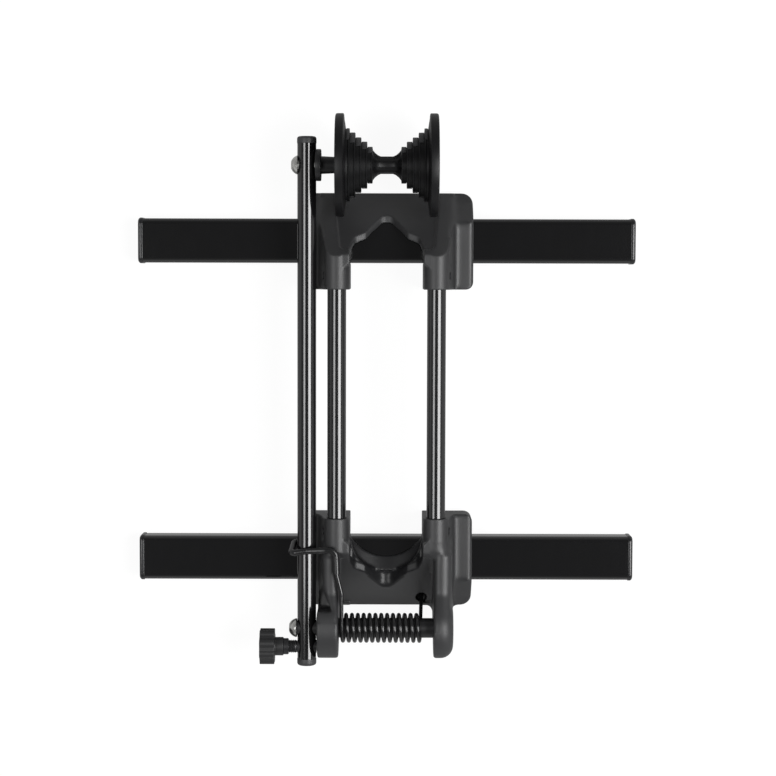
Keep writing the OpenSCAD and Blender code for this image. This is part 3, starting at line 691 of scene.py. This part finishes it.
def softened(node: str, width: float, finish: Finish) -> None:
    """Replaces a CAD node on the arm by a copy with rounded edges.

    Args:
        node: Name of the CAD node.
        width: Width of the rounding in millimetres.
        finish: Its surface.
    """
    piece = cad_copy(node, node + "_rounded")
    with edit_mode(piece, "SELECT"):
        bpy.ops.mesh.dissolve_limited(angle_limit=FLAT)
    finished(smooth(round_edges(piece, width, 3, 40), 35), finish, Body.ARM, node)


# The stand


@dataclass(frozen=True)
class Patch:
    """A region of a cradle that is smoothed, in millimetres.

    Its y counts from the middle of the leg towards -Y. Its rise is the least Z
    of a point's normal. A mirrored patch lies on both sides.
    """

    x: Span
    y: Span
    z: Span
    rise: float
    repeat: int
    mirrored: bool = False

    def holds(self, spot: Vector, normal: Vector, middle: float) -> bool:
        """Tells whether a point is in the patch.

        Args:
            spot: The point in millimetres.
            normal: Its normal.
            middle: Y of the leg's middle.

        Returns:
            True inside the patch.
        """
        across = abs(spot.x) if self.mirrored else spot.x
        return (
            self.x[0] < across < self.x[1]
            and self.y[0] < middle - spot.y < self.y[1]
            and self.z[0] < spot.z < self.z[1]
            and normal.z > self.rise
        )

    def relax(self, piece: Piece, middle: float) -> None:
        """Smooths the points in the patch and leaves the others still.

        Args:
            piece: The cradle.
            middle: Y of its leg's middle.
        """
        with edit_mode(piece) as mesh:
            work = bmesh.from_edit_mesh(mesh)
            for spot in work.verts:
                spot.select_set(self.holds(spot.co / MM, spot.normal, middle))
            work.select_flush_mode()
            bmesh.update_edit_mesh(mesh)
            bpy.ops.mesh.vertices_smooth(factor=0.5, repeat=self.repeat)


WINGS = Patch((43.5, 58.5), (-33, 33), (-1, 40), 0.12, 70, mirrored=True)
CHANNEL = Patch((-13, 13), (8, 29), (-1, 36), -0.1, 30)
RIGHT_RIDGE = Patch((31, 57), (-16, 46), (34, 99), 0.05, 60)
LEFT_RIDGE = Patch((-49.5, -33), (-4, 40), (34, 99), 0.05, 45)


@dataclass
class Cradle:
    """One moulded cradle: the CAD block with the soft edges of a moulding."""

    node: str
    leg: str
    patches: tuple[Patch, ...] = (WINGS,)
    voxel: float = 0.6
    ease: int = 9
    most_faces: int = 95000

    def fill(self, piece: Piece) -> None:
        """Adds forms before the edges are eased; a plain cradle has none."""

    def paint_dish_shade(self, piece: Piece) -> None:
        """Paints shade on some faces with a darker second finish; a plain cradle has none."""

    def build(self) -> None:
        """Builds the moulding with all its edges eased."""
        piece = cad_copy(self.node, self.node + "_moulding")
        self.fill(piece)
        modify(piece, "REMESH", mode="VOXEL", voxel_size=self.voxel * MM, use_smooth_shade=True)
        modify(piece, "SMOOTH", factor=0.5, iterations=self.ease)
        middle = centre_mm(self.leg).y
        for patch in self.patches:
            patch.relax(piece, middle)
        share = self.most_faces / len(piece.data.polygons)
        if share < 1:
            modify(piece, "DECIMATE", ratio=share)
        finished(smooth(piece, 60), CRADLE_PLASTIC, Body.BASE, self.node)
        self.paint_dish_shade(piece)


@dataclass
class FrontCradle(Cradle):
    """The front cradle, with its tyre channel, two ridges and two ears."""

    reach: float = 37.0
    floor_half: float = 3.4
    floor_run: Span = (9.0, 22.0)
    floor_lift: Span = (0.1, 0.55)
    ridge_x: float = 40.6
    ridge_r: float = 6.7
    ridge_rise: float = 2.4
    ridge_start: float = 34.0
    ridge_length: float = 42.0
    ears: Span = (34.1, 48.2)
    corner_r: float = 5.0
    web: Span = (1.6, 5.2)
    dish_half: float = 26.1
    dish_run: Span = (-19.0, 31.0)
    dish_bottom: float = 20.0
    ramp_turn: float = math.radians(46)
    ramp_match: float = 0.985

    def fill(self, piece: Piece) -> None:
        """Closes the channel, carries the right ridge on and fills two corners."""
        top = box_mm(self.leg)[1].z
        middle = centre_mm(self.leg).y
        (near, far), (bottom, lid) = self.floor_run, self.floor_lift
        low = (-self.floor_half, middle - far, top + bottom)
        high = (self.floor_half, middle - near, top + lid)
        carve(piece, block("channel_floor", low, high), "UNION")
        ridge_z = centre_mm("right_rod").z + self.ridge_rise
        start = (self.ridge_x, middle - self.ridge_start, ridge_z)
        carve(piece, bar("ridge_start", start, self.ridge_length, self.ridge_r, Axis.Y), "UNION")
        edge = middle - self.reach
        for ear, inwards in zip(self.ears, (-1, 1)):
            first, last = sorted((ear - inwards, ear + inwards * self.corner_r))
            low = (first, edge - self.corner_r, self.web[0])
            web = block("corner_web", low, (last, edge + 1, self.web[1]))
            centre = (ear + inwards * self.corner_r, edge - self.corner_r, 0)
            carve(web, bar("corner_round", centre, 8, self.corner_r, Axis.Z))
            carve(piece, web, "UNION")

    def paint_dish_shade(self, piece: Piece) -> None:
        """Paints shade into the dish and the channel, where the tyre runs, with a darker and
        smoother copy of the moulding.
        """
        middle = centre_mm(self.leg).y
        slope = Vector((0, -math.sin(self.ramp_turn), math.cos(self.ramp_turn)))
        # The darker second finish is painted shade over the notch's dish and channel.
        piece.data.materials.append(SHADED_DISH_PLASTIC.material())
        for face in piece.data.polygons:
            spot = face.center / MM
            if (
                abs(spot.x) < self.dish_half
                and self.dish_run[0] < middle - spot.y < self.dish_run[1]
                and spot.z > self.dish_bottom
                and face.normal.dot(slope) < self.ramp_match
            ):
                face.material_index = 1


@dataclass
class Base:
    """Two leg tubes with their four end caps, two rods and the screws between them."""

    cap_round: float = 1.3
    corner: float = 4.5
    rim: float = 2.2
    near: float = 0.05

    def cap(self, row: str, side: str) -> None:
        """Builds one end cap with a crowned face and a rim groove.

        Args:
            row: Row of the leg that it closes.
            side: Side of the stand.
        """
        node = f"{row}_{side}_leg_cap"
        low, high = box_mm(node)
        tube_low, tube_high = box_mm(f"{row}_leg_tube")
        outwards = 1 if high.x > 0 else -1
        face_in, face_out = (tube_high.x, high.x) if outwards > 0 else (tube_low.x, low.x)
        first, last = sorted((face_in, face_out))
        piece = block(node + "_dressed", (first, low.y, low.z), (last, high.y, high.z))
        with edit_mode(piece) as mesh:
            pick_edges(mesh, lambda a, b: abs(a.x - b.x) > 1)
            bpy.ops.mesh.bevel(offset=self.corner * MM, segments=8, affect="EDGES")
            pick_faces(mesh, lambda middle, normal: normal.x * outwards > 0.9)
            bpy.ops.mesh.inset(thickness=self.cap_round * MM, depth=0)
            bpy.ops.mesh.inset(thickness=self.rim * MM, depth=0)
        with edit_mode(piece) as mesh:
            pick_edges(
                mesh,
                lambda *ends: all(
                    abs(end.x - face_out) < self.near and self.on_outline(end, low, high)
                    for end in ends
                ),
            )
            bpy.ops.transform.translate(value=(-outwards * self.cap_round * MM * 0.9, 0, 0))
        round_edges(piece, 0.6, 3, 20)
        finished(smooth(piece), CAP_PLASTIC, Body.BASE, node)

    def on_outline(self, spot: Vector, low: Vector, high: Vector) -> bool:
        """Tells whether a point lies on the outer outline of a cap's end.

        Args:
            spot: The point in millimetres.
            low: Lowest corner of the cap.
            high: Highest corner of the cap.

        Returns:
            True on the outline.
        """
        dy = min(spot.y - low.y, high.y - spot.y)
        dz = min(spot.z - low.z, high.z - spot.z)
        if dy < self.near or dz < self.near:
            return True
        if dy > self.corner or dz > self.corner:
            return False
        return math.hypot(self.corner - dy, self.corner - dz) > self.corner - self.near * 2

    def build(self) -> None:
        """Builds the caps and paints the tubes and the rods."""
        repaint(LEG_PAINT, "rear_leg_tube", "front_leg_tube")
        for row in ("rear", "front"):
            for side in ("left", "right"):
                self.cap(row, side)
        repaint(ZINC, "leg_screws")
        repaint(ROD_PAINT, "left_rod", "right_rod")
        repaint(BLACK_STEEL, "rod_set_screws")


@dataclass
class DomedBolt:
    """A cross bolt with a polished domed head and a hexagon socket."""

    node: str
    body: Body
    rise: float
    head_r: float = 6.8
    rim: float = 0.25
    socket: float = 4.4
    socket_depth: float = 2.6
    shank_r: float = 4.0
    arc_steps: int = 12

    def build(self) -> None:
        """Turns the head and shank and cuts the socket."""
        low, high = box_mm(self.node)
        middle = centre_mm(self.node)
        dome_r = (self.head_r**2 + self.rise**2) / (2 * self.rise)
        first = math.asin(self.socket * 0.62 / dome_r)
        last = math.asin(min(1.0, (self.head_r - self.rim) / dome_r))
        arc = [first + (last - first) * i / self.arc_steps for i in range(self.arc_steps + 1)]
        dome = [(dome_r - dome_r * math.cos(a), dome_r * math.sin(a)) for a in arc]
        length = high.x - low.x
        outline = [
            (dome[0][0] + 0.05, 0.0),
            *dome,
            (self.rise - 0.3, self.head_r),
            (self.rise, self.head_r - 0.2),
            (self.rise, self.shank_r),
            (length - 0.8, self.shank_r),
            (length, self.shank_r - 0.7),
            (length, 0.0),
        ]
        piece = turned(self.node + "_turned", outline, (low.x, middle.y, middle.z))
        corner_r = self.socket / 2 / math.cos(math.pi / 6)
        outside = (low.x - 1, middle.y, middle.z)
        carve(piece, bar("socket", outside, self.socket_depth + 1, corner_r, Axis.X, 6))
        finished(smooth(piece, 40), CHROME, self.body, self.node)


@dataclass
class Roller:
    """The V roller: two rims, ringed cones with raised pads and a finned neck."""

    node: str = "v_roller"
    neck_r: float = 5.6
    rings: tuple[Span, ...] = (
        (10.2, 12.5), (14.0, 16.1), (18.2, 19.1), (22.4, 22.5), (26.4, 25.5)
    )
    ring_end: float = 29.0
    flare: tuple[Span, ...] = (
        (0, 4.9), (5.4, 4.9), (7.2, 5.5), (8.6, 6.7), (9.5, 8.4), (10.1, 11.4)
    )
    rim_width: float = 6.4
    pad_angles: Span = (70.0, 250.0)
    pad_sweep: float = 58.0
    pad_rise: float = 0.45
    pad_depth: float = 2.5
    fins: int = 4
    fin_width: float = 3.8

    def size(self) -> Span:
        """Gives half the roller's width and the radius of its rims."""
        low, high = box_mm(self.node)
        return (high.x - low.x) / 2, (high.z - low.z) / 2

    def ring_spans(self) -> list[Point]:
        """Gives each ring's start, end and radius."""
        ends = [x for x, _ in self.rings[1:]] + [self.ring_end]
        return [(x, end, r) for (x, r), end in zip(self.rings, ends)]

    def half_outline(self) -> list[Span]:
        """Gives the outside from the middle of the neck to the rim."""
        half, rim_r = self.size()
        steps = []
        for x, end, r in self.ring_spans():
            steps += [(x, r + 0.15), (x + 0.2, r + 0.35), (x + 0.9, r + 0.35)]
            steps += [(x + 1.15, r - 0.3), (end, r - 0.1)]
        rim_in = half - self.rim_width
        rim = [
            (rim_in - 0.5, 29.5), (rim_in, 32.5), (rim_in + 0.3, 35.8), (rim_in + 0.8, rim_r),
            (half - 1.4, rim_r), (half - 0.4, rim_r - 0.4), (half, rim_r - 1.4),
        ]
        return [*self.flare, *steps, *rim]

    def shell(self) -> Piece:
        """Turns the roller with its hollow ends and its hub."""
        half, rim = self.size()
        outer = self.half_outline()
        hollow = [
            (half - 0.3, rim - 3.2), (half - 4.9, rim - 7.5), (26.4, 20.5), (18.2, 13.9),
            (12.5, 9.0), (12.5, 7.6),
        ]
        right = [(24.0, 7.6), (24.0, 5.5), (14.0, 5.5), (14.0, 4.4)]
        left = [(-25.1, 4.4), (-25.1, 5.5), (-35.1, 5.5), (-35.1, 7.6), (-12.5, 7.6)]
        mirror = [(-x, r) for x, r in reversed(outer[1:])]
        mirror_hollow = [(-x, r) for x, r in reversed(hollow[:-1])]
        outline = mirror + outer + hollow + right + left + mirror_hollow + mirror[:1]
        return turned("v_roller_moulding", outline, centre_mm(self.node), 120)

    def pad(self, x_from: float, x_to: float, radius: float, angle: float) -> Piece:
        """Builds one raised pad on a ring.

        Args:
            x_from: First end of the pad along the roller.
            x_to: Second end of the pad.
            radius: Height of its face above the axis.
            angle: Turn from the top towards +Y in degrees.

        Returns:
            The pad.
        """
        base = radius - self.pad_depth
        outline = [(x_from, base), (x_to, base), (x_to, radius), (x_from, radius)]
        start = angle - self.pad_sweep / 2
        piece = turned("roller_pad", outline, centre_mm(self.node), 14, start, self.pad_sweep)
        return smooth(round_edges(piece, 0.35, 2, 50), 40)

    def fin(self, index: int) -> Piece:
        """Builds one fin that runs across the neck."""
        half = [(4.4, 1.1), (6.4, 2.0), (8.4, 3.6), (10.4, 6.0), (10.4, -0.7)]
        crest = [(-x, z) for x, z in reversed(half)] + half
        back, root = -self.fin_width / 2, self.neck_r - 0.6
        piece = drawn("neck_fin", [metres((x, back, z + root)) for x, z in crest])
        with edit_mode(piece, "SELECT"):
            bpy.ops.mesh.edge_face_add()
            across = (0, self.fin_width * MM, 0)
            bpy.ops.mesh.extrude_region_move(TRANSFORM_OT_translate={"value": across})
        round_edges(close_up(piece), 0.3, 2, 40)
        piece.rotation_euler = (math.tau * index / self.fins, 0, 0)
        piece.location = metres(centre_mm(self.node))
        return smooth(settle(piece), 40)

    def build(self) -> None:
        """Builds the shell with its fins, and the pads on their rings, painted paler as a
        highlight.
        """
        shell = smooth(self.shell(), 28)
        body = joined([shell] + [self.fin(i) for i in range(self.fins)])
        finished(body, ROLLER_PLASTIC, Body.ROLLER, self.node)
        pads = []
        for x, end, r in self.ring_spans():
            first, last = x + 0.1, end - 0.3
            for angle in self.pad_angles:
                pads.append(self.pad(first, last, r + self.pad_rise, angle))
                pads.append(self.pad(-last, -first, r + self.pad_rise, angle))
        body = joined(pads)
        body.name = body.data.name = "roller_pads"
        # The pads are painted paler than the roller, as a highlight.
        finished(body, LIT_PAD_PLASTIC, Body.ROLLER)


@dataclass
class Spring:
    """Torsion spring: one bent wire from the hook on the arm to the ramp."""

    wire_r: float = 1.4
    sleeve_r: float = 2.3
    coil_r: float = 9.35
    pitch: float = 4.21
    turns: int = 13
    steps: int = 36
    coil_start: float = -31.65
    hole_x: float = 26.0
    hole_dy: float = 16.6
    hole_dz: float = 36.0
    hole_depth: float = 2.8
    cross_dy: float = 10.9
    bends: int = 10
    covered_bends: int = 5
    sleeve_start: float = 1.2

    def corners(self) -> list[tuple[Vector, float]]:
        """Gives the corners of the long leg, each with its bend radius."""
        axle = centre_mm("pivot_bolt")
        leg_y = centre_mm("front_leg_tube").y
        arm = centre_mm("arm_tube")
        arm_low, arm_high = box_mm("arm_tube")
        arm_r = (arm_high.z - arm_low.z) / 2
        rod_x = centre_mm("left_rod").x
        side = arm.x - arm_r - self.sleeve_r - 1.8
        cross_y = leg_y + self.cross_dy
        over_arm = axle.z + arm_r + self.sleeve_r + 0.3
        over_barrel = box_mm("rear_cradle")[1].z + self.sleeve_r + 0.35
        route = (
            (arm.x - 4, cross_y + 4, axle.z - 9.4, 0),
            (side + 1.4, cross_y + 3, axle.z - 8, 3.5),
            (side, cross_y - 2.6, over_arm - 0.7, 3.5),
            (arm.x, cross_y - 0.8, over_arm, 8),
            (rod_x - 8, cross_y, over_barrel, 8),
            (rod_x - 0.2, cross_y + 0.8, over_barrel, 5),
            (rod_x + 0.4, leg_y - 6, over_barrel - 0.1, 12),
            (self.coil_start, leg_y - 20, over_barrel - 0.9, 12),
            (self.coil_start, axle.y, axle.z + self.coil_r, 0),
        )
        return [(Vector(spot), radius) for *spot, radius in route]

    def bend(self, before: Vector, corner: Vector, after: Vector, radius: float) -> list[Vector]:
        """Rounds one corner of a route.

        Args:
            before: Corner before this one.
            corner: The corner to round.
            after: Corner after this one.
            radius: Bend radius.

        Returns:
            Points of the bend.
        """
        a, b = (before - corner).normalized(), (after - corner).normalized()
        half = a.angle(b) / 2
        middle = corner + (a + b).normalized() * radius / math.sin(half)
        first = corner + a * radius / math.tan(half) - middle
        last = corner + b * radius / math.tan(half) - middle
        shares = (k / self.bends for k in range(self.bends + 1))
        return [middle + radius * first.lerp(last, share).normalized() for share in shares]

    def lever(self) -> tuple[list[Vector], list[Vector]]:
        """Gives the long leg's path and the part of it that the sleeve covers."""
        route = self.corners()
        arcs = [
            self.bend(before, corner, after, radius)
            for (before, _), (corner, radius), (after, _) in zip(route, route[1:], route[2:])
        ]
        tip = route[0][0]
        path = [tip] + [spot for arc in arcs for spot in arc]
        start = tip + (tip - arcs[0][0]).normalized() * self.sleeve_start
        whole = arcs[: self.covered_bends]
        half_bend = arcs[self.covered_bends][: self.bends // 2 + 1]
        return path, [start] + [spot for arc in whole for spot in arc] + half_bend

    def coil(self) -> list[Vector]:
        """Gives the coil and the short leg that goes down into the ramp."""
        axle = centre_mm("pivot_bolt")
        reach = math.hypot(self.hole_dy, self.hole_dz)
        slant = math.atan2(self.hole_dz, self.hole_dy)
        leave = math.tau - slant - math.acos(self.coil_r / reach)
        quarter = math.pi / 2
        total = math.tau * self.turns + leave - quarter
        count = math.ceil(total / math.tau * self.steps)
        path = []
        for i in range(count + 1):
            turn = total * i / count
            x = self.coil_start + self.pitch * turn / math.tau
            y = axle.y + self.coil_r * math.cos(quarter + turn)
            z = axle.z + self.coil_r * math.sin(quarter + turn)
            path.append(Vector((x, y, z)))
        end = path[-1]
        hole = Vector((self.hole_x, axle.y + self.hole_dy, axle.z - self.hole_dz))
        foot = hole + (hole - end).normalized() * self.hole_depth
        return path + [end.lerp(hole, 0.5), hole, foot]

    def build(self) -> None:
        """Builds the spring and its shrink sleeve, and colours the tube in its coil."""
        path, covered = self.lever()
        coil = self.coil()
        piece = wire("torsion_spring_wire", path + coil, self.wire_r, 4)
        SPRING_WIRE.put_on(piece)
        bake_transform(piece)
        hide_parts("torsion_spring")
        LOG.info("%s twists between base and arm", piece.name)
        sleeve = wire("shrink_sleeve_tube", covered, self.sleeve_r, 5)
        finished(sleeve, SHRINK_TUBE, Body.ARM, "spring_shrink_sleeve")
        repaint(SLEEVE_PLASTIC, "spring_core_sleeve")


@dataclass
class Arm:
    """Swing arm: tube, caps, bolts and what is clamped at the roller."""

    def build(self) -> None:
        """Dresses the arm and all that is bolted to it."""
        repaint(ARM_PAINT, "arm_tube")
        for node in ("arm_top_cap", "arm_bottom_cap"):
            softened(node, 0.35, ARM_CAP_PLASTIC)
        DomedBolt("pivot_bolt", Body.BASE, 5.8).build()
        DomedBolt("roller_bolt", Body.ARM, 5.2).build()
        softened("roller_seat", 0.5, SLEEVE_PLASTIC)
        repaint(SLEEVE_PLASTIC, "pivot_bushing", "pivot_washer", "roller_spacer")
        repaint(ZINC, "pivot_nut", "roller_nut", "roller_end_washer")
        repaint(ZINC, "roller_left_bush", "roller_right_bush")


@dataclass
class LockPlunger:
    """Sprung lock pin with its barrel and lobed knob."""

    thread_pitch: float = 1.25
    thread_root: float = 4.1
    thread_crest: float = 4.68
    collar: float = 3.9
    collar_r: float = 5.8
    core_r: float = 4.7
    pin_bore_r: float = 3.1
    spring_bore_r: float = 4.0
    spring_bore: float = 19.0
    knob_voxel: float = 0.32
    knob_ease: int = 4

    def barrel(self) -> None:
        """Turns the barrel: a collar, a threaded neck and a bored core."""
        low, high = box_mm("plunger_barrel")
        middle = centre_mm("plunger_barrel")
        length = high.x - low.x
        neck_end = box_mm("arm_tube")[0].x - low.x
        outline = [
            (0, self.spring_bore_r),
            (0, self.collar_r - 0.4),
            (0.4, self.collar_r),
            (self.collar - 0.5, self.collar_r),
            (self.collar, self.collar_r - 0.5),
            (self.collar, self.thread_root + 0.1),
        ]
        x = self.collar + 0.2
        while x + self.thread_pitch < neck_end:
            outline += [(x, self.thread_root), (x + self.thread_pitch * 0.5, self.thread_crest)]
            x += self.thread_pitch
        outline += [
            (neck_end, self.thread_root - 0.2),
            (neck_end, self.core_r),
            (length, self.core_r),
            (length, self.pin_bore_r),
            (self.spring_bore, self.pin_bore_r),
            (self.spring_bore, self.spring_bore_r),
            (0, self.spring_bore_r),
        ]
        piece = turned("plunger_barrel_turned", outline, (low.x, middle.y, middle.z))
        finished(smooth(piece, 30), BLACK_STEEL, Body.ARM, "plunger_barrel")

    def knob(self) -> None:
        """Eases the edges of the lobed knob as a moulding."""
        piece = cad_copy("plunger_knob", "plunger_knob_moulding")
        size = self.knob_voxel * MM
        modify(piece, "REMESH", mode="VOXEL", voxel_size=size, use_smooth_shade=True)
        modify(piece, "SMOOTH", factor=0.5, iterations=self.knob_ease)
        finished(piece, KNOB_PLASTIC, Body.PLUNGER, "plunger_knob")

    def build(self) -> None:
        """Builds the knob and barrel and plates the pin and spring."""
        self.knob()
        self.barrel()
        repaint(ZINC, "plunger_pin", "plunger_spring")


# The studio


@dataclass(frozen=True)
class SoftBox:
    """A lamp with a soft face along the stand.

    Its angle is from the vertical towards +X, and its spread is its width seen
    from the stand, both in degrees. Its length and its middle are along Y in
    metres. At level 1 its face is white.
    """

    name: str
    angle: float
    spread: float
    length: float
    along: float
    level: float
    reach: float = 1.9

    def hang(self) -> None:
        """Hangs the lamp at its reach from the stand."""
        width = 2 * self.reach * math.tan(math.radians(self.spread / 2))
        data = bpy.data.lights.new(self.name, "AREA")
        data.shape = "RECTANGLE"
        data.size = width
        data.size_y = self.length
        data.energy = self.level * math.pi * width * self.length
        lamp = bpy.data.objects.new(self.name, data)
        lean = math.radians(self.angle)
        lamp.location = (self.reach * math.sin(lean), self.along, self.reach * math.cos(lean))
        lamp.rotation_euler = (0.0, lean, 0.0)
        bpy.context.scene.collection.objects.link(lamp)


@dataclass
class Studio:
    """White floor, dim surroundings, two soft boxes and the camera."""

    lens: float = 88.33
    sensor: float = 36.0
    height: float = 1400.0
    tilt: float = 3.5
    roll: float = 0.15
    across: float = 1.1
    along: float = 85.4
    floor_size: float = 60.0
    floor_gap: float = 0.0002
    floor_level: float = 0.93
    floor_mirrored: float = 0.35
    room_levels: tuple[Span, ...] = ((0.0, 0.75), (0.27, 0.5), (0.6, 0.22), (0.95, 0.11))
    room_sides: Span = (1.2, 0.6)
    lamps: tuple[SoftBox, ...] = (
        SoftBox("right_soft_box", 35, 31, 1.07, -0.11, 9.8),
        SoftBox("left_soft_box", -28, 20, 0.9, -0.03, 5.6),
    )

    def camera(self) -> None:
        """Sets the camera above the stand, as the photograph was taken."""
        data = bpy.data.cameras.new("overhead_camera")
        data.lens = self.lens
        data.sensor_width = self.sensor
        camera = bpy.data.objects.new("overhead_camera", data)
        camera.location = metres((self.across, self.along, self.height))
        tilt = Matrix.Rotation(math.radians(-self.tilt), 3, "X")
        roll = Matrix.Rotation(math.radians(self.roll), 3, "Z")
        camera.rotation_euler = (tilt @ roll).to_euler()
        bpy.context.scene.collection.objects.link(camera)
        bpy.context.scene.camera = camera

    def floor(self) -> None:
        """Lays the white floor, which keeps a faint shadow."""
        bpy.ops.mesh.primitive_plane_add(size=self.floor_size, location=(0, 0, -self.floor_gap))
        piece = named("studio_floor")
        material = bpy.data.materials.new("white_floor")
        work = Nodes(material)
        work.tree.nodes.clear()
        rays = work.add("LightPath").outputs
        seen = work.maths("MAXIMUM", rays["Is Camera Ray"], rays["Is Glossy Ray"])
        seen = work.maths("MAXIMUM", seen, rays["Is Transmission Ray"])
        drop = self.floor_mirrored - self.floor_level
        level = work.maths("MULTIPLY_ADD", rays["Is Glossy Ray"], drop, self.floor_level)
        plain = work.add("BsdfDiffuse", Color=(0.8, 0.8, 0.8, 1))
        faint = work.add("BsdfDiffuse", Color=(0.09, 0.09, 0.09, 1))
        glow = work.add("Emission", Strength=level)
        both = work.add("AddShader")
        mix = work.add("MixShader")
        for node, inputs in (
            (both, (faint.outputs[0], glow.outputs[0])),
            (mix, (seen, plain.outputs[0], both.outputs[0])),
        ):
            for socket, value in enumerate(inputs):
                work.join(node, socket, value)
        work.add("OutputMaterial", Surface=mix.outputs[0])
        piece.data.materials.append(material)

    def room(self) -> None:
        """Makes the room pale at the floor's edge and dim overhead."""
        world = bpy.data.worlds.new("studio_room")
        bpy.context.scene.world = world
        work = Nodes(world)
        split = work.add("SeparateXYZ", Vector=work.place("Generated"))
        upwards = work.add("ValToRGB")
        work.join(upwards, 0, split.outputs["Z"])
        stops = upwards.color_ramp.elements
        while len(stops) < len(self.room_levels):
            stops.new(0.5)
        for stop, (height, level) in zip(stops, self.room_levels):
            stop.position = height
            stop.color = (level, level, level, 1)
        sideways = work.spread(split.outputs["Y"], (-1.0, 1.0), self.room_sides)
        background = work.tree.nodes["Background"]
        work.join(background, "Color", upwards.outputs[0])
        work.join(background, "Strength", sideways)

    def build(self) -> None:
        """Sets up the whole studio."""
        bpy.context.scene.view_settings.view_transform = "Standard"
        self.camera()
        self.floor()
        self.room()
        for lamp in self.lamps:
            lamp.hang()


def main() -> None:
    """Builds the studio and the stand."""
    logging.basicConfig(level=logging.INFO, format="%(name)s %(message)s")
    front_patches = (WINGS, CHANNEL, RIGHT_RIDGE, LEFT_RIDGE)
    for part in (
        Studio(),
        Cradle("rear_cradle", "rear_leg_tube"),
        FrontCradle("front_cradle", "front_leg_tube", front_patches),
        Base(),
        Arm(),
        Roller(),
        Spring(),
        LockPlunger(),
    ):
        part.build()


if __name__ == "__main__":
    main()
